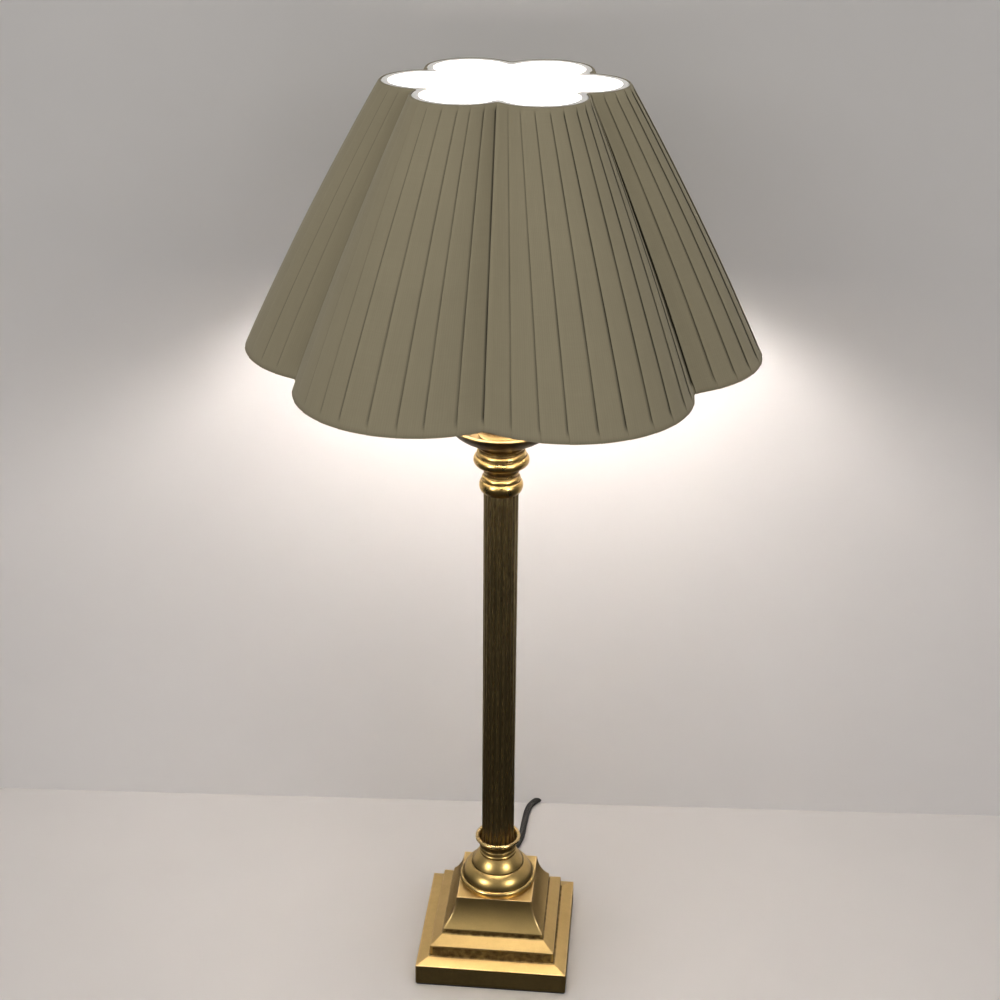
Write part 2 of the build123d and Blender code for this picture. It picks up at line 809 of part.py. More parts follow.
nodes = {
    "felt_pad": felt_pad,
    "bottom_cover": bottom_cover,
    "cover_screws": cover_screws,
    "base_casting": base_casting,
    "base_weight": base_weight,
    "weight_screws": weight_screws,
    "cord_grommet": cord_grommet,
    "threaded_rod": threaded_rod,
    "clamp_washer": clamp_washer,
    "earth_tag": earth_tag,
    "clamp_nut": clamp_nut,
    "earth_wire": earth_wire,
    "base_bell": base_bell,
    "foot_collar": foot_collar,
    "column_tube": column_tube,
    "column_bush_lower": lambda: column_bush(collar_floor),
    "column_bush_upper": lambda: column_bush(column_top - bush_height),
    "lower_knop": lower_knop,
    "upper_knop": upper_knop,
    "drip_pan": drip_pan,
    "candle_cup": candle_cup,
    "holder_cap": holder_cap,
    "rod_locknut": rod_locknut,
    "lampholder_body": lampholder_body,
    "switch_block": switch_block,
    "switch_bar": switch_bar,
    "socket_insert": socket_insert,
    "socket_thread": socket_thread,
    "centre_contact": centre_contact,
    "shade_ring": shade_ring,
    "bulb_cap": bulb_cap,
    "bulb_insulator": bulb_insulator,
    "bulb_tip": bulb_tip,
    "bulb_glass": bulb_glass,
    "shade_gallery": shade_gallery,
    "shade_arms": shade_arms,
    "shade_top_wire": lambda: rim_wire(high_wire),
    "shade_bottom_wire": lambda: rim_wire(low_wire),
    "shade_struts": shade_struts,
    "shade_lining": shade_lining,
    "shade_fabric": shade_fabric,
    "inner_flex": inner_flex,
    "cord": cord,
    "cord_coil": cord_coil,
    "cord_tie": cord_tie,
    "plug_strain_relief": plug_strain_relief,
    "plug_body": plug_body,
    "plug_pins": plug_pins,
}

os.makedirs("parts", exist_ok=True)
for name, make in nodes.items():
    made = make()
    if isinstance(made, list):
        made = Compound(children=[solid for piece in made for solid in piece.solids()])
    export_step(made, f"parts/{name}.step")
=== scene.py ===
# A candlestick table lamp with a pleated six-lobed shade, lit, on a pale surface.
# Settings and shape functions are in millimetres. A piece is written to its mesh in metres.
import math

import bmesh
import bpy
import numpy as np
from mathutils import Matrix, Vector


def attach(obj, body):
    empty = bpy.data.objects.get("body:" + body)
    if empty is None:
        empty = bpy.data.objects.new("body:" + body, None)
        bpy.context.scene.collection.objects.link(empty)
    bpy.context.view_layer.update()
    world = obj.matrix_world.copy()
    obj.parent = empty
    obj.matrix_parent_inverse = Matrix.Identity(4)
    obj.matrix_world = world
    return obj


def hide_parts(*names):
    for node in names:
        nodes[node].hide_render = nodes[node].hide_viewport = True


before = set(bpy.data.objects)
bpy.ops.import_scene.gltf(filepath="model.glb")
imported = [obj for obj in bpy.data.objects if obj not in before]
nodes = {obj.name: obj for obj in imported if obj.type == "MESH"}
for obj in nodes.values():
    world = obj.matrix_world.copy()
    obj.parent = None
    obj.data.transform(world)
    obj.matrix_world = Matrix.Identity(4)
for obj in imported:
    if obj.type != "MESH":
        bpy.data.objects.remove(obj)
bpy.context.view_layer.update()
mm = 0.001
turnAll = 2 * math.pi
print("frame loaded:", len(nodes), "nodes")


def newObject(name, data):
    made = bpy.data.objects.new(name, data)
    bpy.context.scene.collection.objects.link(made)
    return made


# Camera

cameraSettings = {
    "place": (0.1052, -1.1971, 0.9964),
    "lens": 61.92,
    "sensor": 36.0,
    "heading": 5.06,
    "pitch": 25.31,
    "roll": 0.51,
    "clip": (0.02, 50),
}


def makeCamera(s):
    # forward is turned by heading from +Y and tipped down by pitch; right and up are then rolled about it
    heading, pitch, roll = (math.radians(s[k]) for k in ("heading", "pitch", "roll"))
    forward = Vector((-math.sin(heading) * math.cos(pitch), math.cos(heading) * math.cos(pitch),
                      -math.sin(pitch)))
    level = Vector((math.cos(heading), math.sin(heading), 0))
    above = level.cross(forward)
    right = level * math.cos(roll) + above * math.sin(roll)
    up = above * math.cos(roll) - level * math.sin(roll)
    data = bpy.data.cameras.new("camera")
    data.lens = s["lens"]
    data.sensor_width = s["sensor"]
    data.clip_start, data.clip_end = s["clip"]
    camera = newObject("camera", data)
    place = Matrix((right, up, -forward)).transposed().to_4x4()
    place.translation = Vector(s["place"])
    camera.matrix_world = place
    bpy.context.scene.camera = camera


makeCamera(cameraSettings)


# Node helpers

def newMaterial(name):
    # a material with only a Principled shader and its output
    material = bpy.data.materials.new(name)
    material.use_nodes = True
    tree = material.node_tree
    tree.nodes.clear()
    shader = tree.nodes.new("ShaderNodeBsdfPrincipled")
    output = tree.nodes.new("ShaderNodeOutputMaterial")
    tree.links.new(shader.outputs["BSDF"], output.inputs["Surface"])
    return material, tree, shader


def fillInputs(tree, node, values):
    # each input is set to a value or linked to a socket
    for key, value in values.items():
        if isinstance(value, bpy.types.NodeSocket):
            tree.links.new(value, node.inputs[key])
        else:
            node.inputs[key].default_value = value


def addNode(tree, kind, values=None, **settings):
    node = tree.nodes.new("ShaderNode" + kind)
    for key, value in settings.items():
        setattr(node, key, value)
    fillInputs(tree, node, values or {})
    return node


def calc(tree, operation, a, b=0.0, c=0.0):
    return addNode(tree, "Math", {0: a, 1: b, 2: c}, operation=operation).outputs[0]


def times(tree, a, b):
    return calc(tree, "MULTIPLY", a, b)


def timesPlus(tree, a, b, c):
    return calc(tree, "MULTIPLY_ADD", a, b, c)


def remap(tree, value, low, high, newLow=0.0, newHigh=1.0):
    # value runs smoothly from newLow to newHigh as it goes from low to high
    values = {"Value": value, "From Min": low, "From Max": high, "To Min": newLow, "To Max": newHigh}
    return addNode(tree, "MapRange", values, interpolation_type="SMOOTHSTEP").outputs["Result"]


def blendColors(tree, share, a, b):
    node = addNode(tree, "Mix", data_type="RGBA")
    for key, value in {"Factor": share, "A": a, "B": b}.items():
        kind = "VALUE" if key == "Factor" else "RGBA"
        socket = next(i for i in node.inputs if i.name == key and i.type == kind)
        if isinstance(value, bpy.types.NodeSocket):
            tree.links.new(value, socket)
        else:
            socket.default_value = value if key == "Factor" else (*value[:3], 1)
    return next(o for o in node.outputs if o.type == "RGBA")


def scaleColor(tree, color, light):
    return addNode(tree, "VectorMath", {0: color, "Scale": light}, operation="SCALE").outputs[0]


def relief(tree, height, strength, distance):
    values = {"Height": height, "Strength": strength, "Distance": distance}
    return addNode(tree, "Bump", values).outputs["Normal"]


def noise(tree, where, scale, detail=3.0, roughness=0.55):
    values = {"Vector": where, "Scale": scale, "Detail": detail, "Roughness": roughness}
    return addNode(tree, "TexNoise", values).outputs["Fac"]


def objectPlace(tree):
    return addNode(tree, "TexCoord").outputs["Object"]


def attribute(tree, name):
    return addNode(tree, "Attribute", attribute_name=name).outputs["Fac"]


def stretched(tree, where, scale):
    return addNode(tree, "Mapping", {"Vector": where, "Scale": scale}).outputs["Vector"]


def newGroup(name, inputs, outputs):
    # a shader node group with named inputs, each with its default, and named outputs
    group = bpy.data.node_groups.new(name, "ShaderNodeTree")
    for key, value in inputs.items():
        kind = ("NodeSocketVector" if value is None else
                "NodeSocketColor" if isinstance(value, tuple) else "NodeSocketFloat")
        socket = group.interface.new_socket(name=key, in_out="INPUT", socket_type=kind)
        if isinstance(value, tuple):
            socket.default_value = (*value, 1)
        elif value is not None:
            socket.default_value = value
    for key, kind in outputs.items():
        group.interface.new_socket(name=key, in_out="OUTPUT", socket_type="NodeSocket" + kind)
    return group, group.nodes.new("NodeGroupInput").outputs, group.nodes.new("NodeGroupOutput").inputs


def useGroup(tree, group, **values):
    node = tree.nodes.new("ShaderNodeGroup")
    node.node_tree = group
    fillInputs(tree, node, {key: (*value, 1) if isinstance(value, tuple) else value
                            for key, value in values.items()})
    return node.outputs


# Mesh helpers

def arcThrough(a, b, c):
    # the circle through three points, as a function of a share from 0 at a to 1 at c, and its length
    (ax, ay), (bx, by), (cx, cy) = a, b, c
    d = 2 * (ax * (by - cy) + bx * (cy - ay) + cx * (ay - by))
    x = ((ax * ax + ay * ay) * (by - cy) + (bx * bx + by * by) * (cy - ay)
         + (cx * cx + cy * cy) * (ay - by)) / d
    y = ((ax * ax + ay * ay) * (cx - bx) + (bx * bx + by * by) * (ax - cx)
         + (cx * cx + cy * cy) * (bx - ax)) / d
    radius = math.hypot(ax - x, ay - y)
    first = math.atan2(ay - y, ax - x)
    turn = (math.atan2(cy - y, cx - x) - first) % turnAll
    if (math.atan2(by - y, bx - x) - first) % turnAll > turn:
        turn -= turnAll
    return (lambda t: np.stack([x + radius * np.cos(first + turn * t),
                                y + radius * np.sin(first + turn * t)], -1)), abs(turn) * radius


def outline(start, *steps, spacing=1.0, soft=0.35, closed=False):
    # An outline in (radius, height): a step is an end point, or (mid point, end point) for an arc.
    # Each run is divided, and a sharp corner becomes a short curve that begins soft before it.
    runs, here = [], start
    for step in steps + ((start,) if closed else ()):
        end = step[-1] if isinstance(step[0], tuple) else step
        if isinstance(step[0], tuple):
            runs.append(arcThrough(here, step[0], end))
        else:
            a, b = np.array(here, float), np.array(end, float)
            runs.append(((lambda t, a=a, b=b: a + (b - a) * np.asarray(t)[..., None]),
                         float(np.hypot(*(b - a)))))
        here = end
    ways = []
    for run, length in runs:
        ends = run(np.array([0, 0.01, 0.99, 1]))
        ways.append(((ends[1] - ends[0]), (ends[3] - ends[2])))
    count = len(runs)
    sharpTurn = math.cos(math.radians(14))

    def sharp(i):
        # whether the outline turns by more than that where run i ends
        if not closed and i == count - 1:
            return False
        a, b = ways[i][1], ways[(i + 1) % count][0]
        return np.dot(a, b) < sharpTurn * np.linalg.norm(a) * np.linalg.norm(b)

    pieces = []
    for i, (run, length) in enumerate(runs):
        cut = min(soft / length, 0.3)
        before = sharp(i - 1) if closed or i else False
        low = cut if before else 0.0
        high = 1 - cut if sharp(i) else 1.0
        divisions = max(1, math.ceil(length * (high - low) / spacing))
        shares = np.linspace(low, high, divisions + 1)
        pieces.append(run(shares[(0 if before or not i else 1):]))
        if sharp(i):
            after, afterLength = runs[(i + 1) % count]
            a, corner = run(np.array(high)), run(np.array(1.0))
            b = after(np.array(min(soft / afterLength, 0.3)))
            t = np.array([0.25, 0.5, 0.75])[:, None]
            pieces.append(a * (1 - t) ** 2 + corner * 2 * t * (1 - t) + b * t * t)
    points = np.concatenate(pieces)
    return points[:-1] if closed and np.allclose(points[0], points[-1]) else points


def wearAndShadingAlong(points, reach=0.8, closed=False):
    # how much the outline turns within reach of each point: above 0 on an edge, below 0 in a groove
    ahead = np.roll(points, -1, 0) - points
    behind = points - np.roll(points, 1, 0)
    turn = np.arctan2(behind[:, 0] * ahead[:, 1] - behind[:, 1] * ahead[:, 0], (ahead * behind).sum(1))
    if not closed:
        turn[[0, -1]] = 0
    apart = np.linalg.norm(points[:, None] - points[None], axis=2)
    return np.clip((np.exp(-(apart / reach) ** 2) * turn[None]).sum(1), -1.5, 1.5)


def gridFaces(rows, columns, rowsClose, columnsClose):
    # quads over a grid of rows by columns, which may close on themselves
    r = np.arange(rows if rowsClose else rows - 1)[:, None]
    c = np.arange(columns if columnsClose else columns - 1)[None]
    nextRow, nextColumn = (r + 1) % rows, (c + 1) % columns
    corners = [r * columns + c, r * columns + nextColumn, nextRow * columns + nextColumn,
               nextRow * columns + c]
    return np.stack([k.ravel() for k in corners], 1)


def writeMesh(name, points, faces, marks=None, uv=None):
    # a mesh from arrays, its doubles merged, its normals weighted by the area of the faces round each vertex
    mesh = bpy.data.meshes.new(name)
    mesh.vertices.add(len(points))
    mesh.vertices.foreach_set("co", (points * mm).astype(np.float32).ravel())
    mesh.loops.add(faces.size)
    mesh.loops.foreach_set("vertex_index", faces.astype(np.int32).ravel())
    mesh.polygons.add(len(faces))
    mesh.polygons.foreach_set("loop_start", (np.arange(len(faces)) * 4).astype(np.int32))
    if uv is not None:
        layer = mesh.uv_layers.new(name="along")
        layer.uv.foreach_set("vector", uv.astype(np.float32).ravel())
    for key, values in (marks or {}).items():
        mark = mesh.attributes.new(key, "FLOAT", "POINT")
        mark.data.foreach_set("value", values.astype(np.float32).ravel())
    mesh.update(calc_edges=True)
    work = bmesh.new()
    work.from_mesh(mesh)
    bmesh.ops.remove_doubles(work, verts=work.verts, dist=1e-7)
    work.to_mesh(mesh)
    work.free()
    mesh.polygons.foreach_set("use_smooth", np.ones(len(mesh.polygons), bool))
    weighArea(mesh)
    return mesh


def readArray(items, key, count, kind=np.float32):
    values = np.zeros(count, kind)
    items.foreach_get(key, values)
    return values


def weighArea(mesh):
    # a vertex's normal is the sum of its faces' normals times their areas, so a flat face beside a curve
    # stays flat
    faces = len(mesh.polygons)
    loops = readArray(mesh.loops, "vertex_index", len(mesh.loops), np.int32)
    total = readArray(mesh.polygons, "loop_total", faces, np.int32)
    area = readArray(mesh.polygons, "area", faces)
    normal = readArray(mesh.polygons, "normal", 3 * faces)
    push = np.repeat(normal.reshape(-1, 3) * area[:, None], total, axis=0)
    summed = np.zeros((len(mesh.vertices), 3))
    np.add.at(summed, loops, push)
    summed /= np.maximum(np.linalg.norm(summed, axis=1, keepdims=True), 1e-12)
    mesh.normals_split_custom_set_from_vertices(summed.astype(np.float32))


def addPiece(name, mesh, material, body="stand", replaces=()):
    piece = newObject(name, mesh)
    mesh.materials.append(material)
    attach(piece, body)
    if replaces:
        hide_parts(*replaces)
    return piece


def gridUv(across, upward):
    # the corners of a grid's quads, read from arrays one longer each way than its points
    grid = np.stack([across, upward], -1)
    return np.stack([grid[:-1, :-1], grid[:-1, 1:], grid[1:, 1:], grid[1:, :-1]], 2).reshape(-1, 2)


def lathe(profile, segments=128, closed=False, dull=()):
    # a profile in (radius, height) turned round Z: (r cos a, r sin a, z), marked on its edges and in its
    # hollows;
    # dull holds pairs of a lower and an upper height, with painted shade between them
    angle = np.arange(segments) * turnAll / segments
    r, z = profile[:, :1], profile[:, 1:]
    points = np.stack([r * np.cos(angle), r * np.sin(angle), z + 0 * angle], -1)
    # long hollows darken too: patina and painted shade
    hollow = np.minimum(wearAndShadingAlong(profile, 3.5, closed), 0)
    along = wearAndShadingAlong(profile, closed=closed) + 0.55 * hollow
    # painted shade: each dull band is darkened where a lip or the next part shades it
    for low, high in dull:
        along = along - 0.5 * np.clip(np.minimum(profile[:, 1] - low, high - profile[:, 1]) + 1, 0, 1)
    # the mark lightens edges, worn brass with a painted highlight, and darkens hollows with patina and
    # painted shade
    wearAndShading = np.repeat(along[:, None], segments, 1)
    return points.reshape(-1, 3), gridFaces(len(profile), segments, closed, True), {"wearAndShading": wearAndShading}


def turned(name, material, start, *steps, slot, replaces, body="stand", segments=128, spacing=1.0,
           soft=0.35, closed=False, dull=()):
    points, faces, marks = lathe(outline(start, *steps, spacing=spacing, soft=soft, closed=closed),
                                 segments, closed, dull)
    return addPiece(name, writeMesh(name, points, faces, marks), material, body, replaces)


# Stage: a pale floor, a pale wall where the photographed surface ends, soft lights

stageSettings = {
    "floorHalf": 3000.0,
    "low": -0.05,
    "wallPoint": (23.0, 209.0),
    "wallTurn": 3.19,
    "wallHalf": 3000.0,
    "wallHeight": 2600.0,
    "floorColor": (0.62, 0.60, 0.585),
    "wallColor": (0.78, 0.765, 0.76),
    "worldUp": (0.24, 0.235, 0.23),
    "worldLow": (0.012, 0.011, 0.010),
    "worldSide": (0.15, 0.147, 0.142),
    "worldFill": (0.17, 0.168, 0.166),
    "worldStops": (0.30, 0.55, 0.95),
}


def stageMaterial(name, color, seeThroughBack):
    # faintly uneven paint; the wall isn't seen from behind
    material, tree, shader = newMaterial(name)
    uneven = remap(tree, noise(tree, objectPlace(tree), 2.2, 4), 0.3, 0.7, 0.97, 1.03)
    fillInputs(tree, shader, {"Base Color": scaleColor(tree, color, uneven), "Roughness": 0.85,
                              "Specular IOR Level": 0.15})
    if seeThroughBack:
        clear = addNode(tree, "BsdfTransparent")
        back = addNode(tree, "NewGeometry").outputs["Backfacing"]
        mix = addNode(tree, "MixShader", {0: back, 1: shader.outputs["BSDF"], 2: clear.outputs["BSDF"]})
        output = next(n for n in tree.nodes if n.type == "OUTPUT_MATERIAL")
        tree.links.new(mix.outputs[0], output.inputs["Surface"])
    return material


def makeStage(s):
    half, low, high = s["floorHalf"], s["low"], s["wallHeight"]
    floorPoints = [(-half, -half, low), (half, -half, low), (half, half, low), (-half, half, low)]
    turn = math.radians(s["wallTurn"])
    middle, along = np.array(s["wallPoint"]), np.array([math.cos(turn), math.sin(turn)])
    left, right = middle - along * s["wallHalf"], middle + along * s["wallHalf"]
    wallPoints = [(*left, low), (*right, low), (*right, high), (*left, high)]
    oneFace = np.array([[0, 1, 2, 3]])
    for name, points, color, isWall in (("floor", floorPoints, s["floorColor"], False),
                                        ("wall", wallPoints, s["wallColor"], True)):
        mesh = writeMesh(name, np.array(points), oneFace)
        mesh.materials.append(stageMaterial(name, color, isWall))
        piece = newObject(name, mesh)
        # the brass mirrors the dark lower half of the room, not the floor, and the wall casts no shadow
        piece.visible_glossy = isWall
        piece.visible_shadow = not isWall


def makeWorld(s):
    # an even fill for the surfaces; mirrored, the room is dark below and paler towards the ceiling
    world = bpy.data.worlds.new("room")
    bpy.context.scene.world = world
    world.use_nodes = True
    tree = world.node_tree
    tree.nodes.clear()
    direction = addNode(tree, "TexCoord").outputs["Generated"]
    height = addNode(tree, "SeparateXYZ", {0: direction}).outputs["Z"]
    ramp = addNode(tree, "ValToRGB", {0: remap(tree, height, -0.6, 0.9)})
    elements = ramp.color_ramp.elements
    low, side, up = s["worldStops"]
    elements[0].position, elements[0].color = low, (*s["worldLow"], 1)
    elements[1].position, elements[1].color = up, (*s["worldUp"], 1)
    elements.new(side).color = (*s["worldSide"], 1)
    glossy = addNode(tree, "LightPath").outputs["Is Glossy Ray"]
    color = blendColors(tree, glossy, s["worldFill"], ramp.outputs["Color"])
    background = addNode(tree, "Background", {"Color": color, "Strength": 1.0})
    output = addNode(tree, "OutputWorld")
    tree.links.new(background.outputs[0], output.inputs["Surface"])


lightSettings = {
    # name: place in metres, size, power in watts, colour, and whether it shows only as a highlight on gloss
    "leftSoftbox": ((-1.5, -1.9, 1.9), 1.6, 13.0, (1.0, 0.98, 0.95), False),
    "rightSoftbox": ((1.6, -1.8, 1.9), 1.6, 11.0, (1.0, 0.98, 0.95), False),
    "topSoftbox": ((0.0, -0.6, 2.6), 1.6, 11.0, (1.0, 0.98, 0.96), False),
    "leftLamp": ((-1.75, -2.0, 1.42), 0.55, 34.0, (1.0, 0.96, 0.88), True),
    "rightLamp": ((1.95, -1.85, 1.42), 0.55, 32.0, (1.0, 0.96, 0.88), True),
}


def makeLights(lights):
    aim = Vector((0, 0, 0.25))
    for name, (place, size, power, color, glossOnly) in lights.items():
        data = bpy.data.lights.new(name, "AREA")
        data.size = size
        data.energy = power
        data.color = color
        light = newObject(name, data)
        light.location = place
        light.visible_glossy = glossOnly
        light.visible_diffuse = not glossOnly
        light.rotation_euler = (aim - light.location).to_track_quat("-Z", "Y").to_euler()


makeStage(stageSettings)
makeWorld(stageSettings)
makeLights(lightSettings)
bpy.context.scene.view_settings.view_transform = "Standard"
print("stage and lights made")


# Materials

def makeMottle():
    # cast or turned brass: a cloudy tone in three sizes, dark grooves that are patina and painted shade, and
    # bright edges that are worn brass and a painted highlight
    group, given, out = newGroup("brassMottle", {
        "Where": None, "WearAndShading": 0.0, "Tone": (0.60, 0.42, 0.17), "Shade": (0.30, 0.19, 0.07),
        "Rubbed": (0.86, 0.66, 0.34), "Cloud": 0.5, "Speck": 0.25, "Grime": 0.8, "Smooth": 0.28,
        "Rough": 0.5}, {"Color": "Color", "Roughness": "Float", "Height": "Float"})
    grimeAndShadeColor = (0.055, 0.032, 0.014)
    broad = remap(group, noise(group, given["Where"], 38, 4, 0.6), 0.28, 0.75)
    middle = remap(group, noise(group, given["Where"], 190, 3, 0.5), 0.2, 0.8)
    fine = noise(group, given["Where"], 1500, 2, 0.5)
    cloudy = times(group, timesPlus(group, broad, 0.6, times(group, middle, 0.4)), given["Cloud"])
    color = blendColors(group, cloudy, given["Tone"], given["Shade"])
    specks = times(group, remap(group, fine, 0.5, 0.72), given["Speck"])
    color = blendColors(group, specks, color, given["Shade"])
    ragged = timesPlus(group, middle, 0.5, 0.6)
    # painted shade: the grooves darken, brown patina in them together with the shade that falls there
    groove = times(group, given["WearAndShading"], -1.0)
    grimeAndShade = times(group, remap(group, groove, 0.08, 0.75), given["Grime"])
    color = blendColors(group, times(group, grimeAndShade, ragged), color, grimeAndShadeColor)
    # painted highlight: the edges lighten, brass worn bright together with the light they catch
    rubbedAndHighlight = times(group, remap(group, given["WearAndShading"], 0.25, 1.1), calc(group, "SUBTRACT", 1.1, broad))
    color = blendColors(group, times(group, rubbedAndHighlight, 0.85), color, given["Rubbed"])
    span = calc(group, "SUBTRACT", given["Rough"], given["Smooth"])
    patches = timesPlus(group, broad, 0.5, times(group, middle, 0.5))
    dull = timesPlus(group, grimeAndShade, 0.25, timesPlus(group, patches, span, given["Smooth"]))
    group.links.new(color, out["Color"])
    group.links.new(calc(group, "SUBTRACT", dull, times(group, rubbedAndHighlight, 0.08)), out["Roughness"])
    group.links.new(timesPlus(group, middle, 0.15, fine), out["Height"])
    return group


mottle = makeMottle()


def makeBrass(name, marked=True, **settings):
    material, tree, shader = newMaterial(name)
    where = objectPlace(tree)
    if marked:
        settings["WearAndShading"] = attribute(tree, "wearAndShading")
    look = useGroup(tree, mottle, Where=where, **settings)
    fillInputs(tree, shader, {"Base Color": look["Color"], "Roughness": look["Roughness"], "Metallic": 1.0,
                              "Normal": relief(tree, look["Height"], 0.02, 0.0004)})
    return material


def makePlain(name, color, roughness, metallic=0.0, grain=300, uneven=0.12, raised=0.1, coat=0.0):
    # an even finish broken up by a fine grain in its tone, roughness and relief
    _, tree, shader = newMaterial(name)
    where = objectPlace(tree)
    fine = noise(tree, where, grain, 4, 0.6)
    broad = noise(tree, where, grain / 9, 3, 0.5)
    light = timesPlus(tree, calc(tree, "ADD", fine, broad), uneven, 1 - uneven)
    fillInputs(tree, shader, {
        "Base Color": scaleColor(tree, color, light), "Metallic": metallic, "Coat Weight": coat,
        "Roughness": timesPlus(tree, fine, 0.16, roughness - 0.08),
        "Normal": relief(tree, fine, raised, 0.0003)})


# Tone is the metal and Shade its darker patches; its roughness lies between Smooth and Rough
antiqueBrass = makeBrass("antiqueBrass", Tone=(0.66, 0.45, 0.165), Shade=(0.44, 0.29, 0.10), Smooth=0.22,
                         Rough=0.38)
satinBrass = makeBrass("satinBrass", Tone=(0.66, 0.47, 0.18), Shade=(0.42, 0.29, 0.105), Smooth=0.27,
                       Rough=0.40, Speck=0.4)
castBrass = makeBrass("castBrass", Tone=(0.66, 0.47, 0.19), Shade=(0.50, 0.35, 0.135), Smooth=0.36,
                      Rough=0.46, Speck=0.4)
# the pan and the cup take a darker copy of the brass: painted shade that tempers the bulb's light falling on
# them
panBrass = makeBrass("panBrass", Tone=(0.19, 0.130, 0.052), Shade=(0.12, 0.078, 0.03), Smooth=0.36,
                     Rough=0.5, Rubbed=(0.62, 0.43, 0.19))
columnBrass = makeBrass("columnBrass", Tone=(0.35, 0.265, 0.118), Shade=(0.24, 0.18, 0.08), Smooth=0.34,
                        Rough=0.42, Rubbed=(0.60, 0.48, 0.25), Cloud=0.35, Speck=0.08)
holderBrass = makeBrass("holderBrass", Tone=(0.78, 0.60, 0.30), Shade=(0.60, 0.44, 0.20), Smooth=0.18,
                        Rough=0.3, Grime=0.5)
makeBrass("plainBrass", marked=False, Tone=(0.78, 0.60, 0.30), Shade=(0.60, 0.44, 0.20), Smooth=0.2,
          Rough=0.34)
makePlain("zincSteel", (0.55, 0.56, 0.58), 0.34, metallic=1.0)
makePlain("castIron", (0.06, 0.06, 0.065), 0.7, metallic=0.6, raised=0.3)
makePlain("baseFelt", (0.022, 0.022, 0.024), 0.95, grain=900, uneven=0.25, raised=0.5)
makePlain("blackRubber", (0.018, 0.018, 0.019), 0.55, grain=700)
makePlain("blackPlastic", (0.012, 0.012, 0.013), 0.36, grain=500, raised=0.06)
makePlain("earthSheath", (0.10, 0.26, 0.05), 0.45)
makePlain("porcelain", (0.78, 0.77, 0.73), 0.2, raised=0.02, coat=0.6)
makePlain("bulbMetal", (0.72, 0.72, 0.70), 0.28, metallic=1.0)
makePlain("whiteWire", (0.74, 0.72, 0.68), 0.42, coat=0.2)
makePlain("tieStrap", (0.02, 0.02, 0.022), 0.6, grain=1200, raised=0.4)
print("materials made")


# Square foot

footSettings = {
    "felt": 1.5, "half": 63.5, "faceTop": 19.6,
    "stepHalf": 52.3, "stepBottom": 22.7, "stepTop": 32.7,
    "plinthHalf": 42.3, "plinthBottom": 39.4, "caveBottom": 43.7,
    "caveMiddle": (35.24, 55.81), "topHalf": 31.9, "top": 69.5,
    "wall": 4.0, "rebateHalf": 60.7, "rebateTop": 3.5, "ledge": 30.0, "webUnderside": 60.0, "hole": 5.15,
    "corner": 0.9, "across": 36, "round": 5, "cornerWearAndHighlight": 1.4, "upperGrime": 0.85, "rimGrime": 0.35,
}


def squareRing(half, height, corner, s):
    # a square of that half width with round corners: the corner's centre plus its radius along
    # (cos a, sin a), and along a side the point moves from one corner's centre to the next, in shorter
    # steps near both
    arc = np.linspace(-math.pi / 4, math.pi / 4, s["round"])
    side = (1 - np.cos(math.pi * np.linspace(0, 1, s["across"] + 2)[1:-1])) / 2
    straight = (half - corner)[:, None, None]
    points, marks = [], []
    for k in range(4):
        ahead, turn = (k + 0.5) * math.pi / 2, k * math.pi / 2
        after = ahead + math.pi / 2
        center = straight * np.array([np.sign(math.cos(ahead)), np.sign(math.sin(ahead))])
        around = np.stack([np.cos(ahead + arc), np.sin(ahead + arc)], -1)
        points.append(center + corner[:, None, None] * around)
        marks.append(np.ones((len(half), s["round"])))
        there = straight * np.array([np.sign(math.cos(after)), np.sign(math.sin(after))])
        way = np.array([math.cos(turn + math.pi / 2), math.sin(turn + math.pi / 2)])
        points.append(center + (there - center) * side[None, :, None] + corner[:, None, None] * way)
        span = 2 * (half - corner)[:, None] * np.minimum(side, 1 - side)[None]
        marks.append(np.exp(-(span / s["cornerWearAndHighlight"]) ** 2))
    flat = np.concatenate(points, 1)
    upright = np.broadcast_to(height[:, None, None], flat.shape[:2] + (1,))
    return np.concatenate([flat, upright], 2), np.concatenate(marks, 1)


def uprightness(path):
    # how upright the outline stands at each point, from 0 flat to 1 upright
    way = np.roll(path, -1, 0) - np.roll(path, 1, 0)
    return np.abs(way[:, 1]) / np.maximum(np.linalg.norm(way, axis=1), 1e-9)


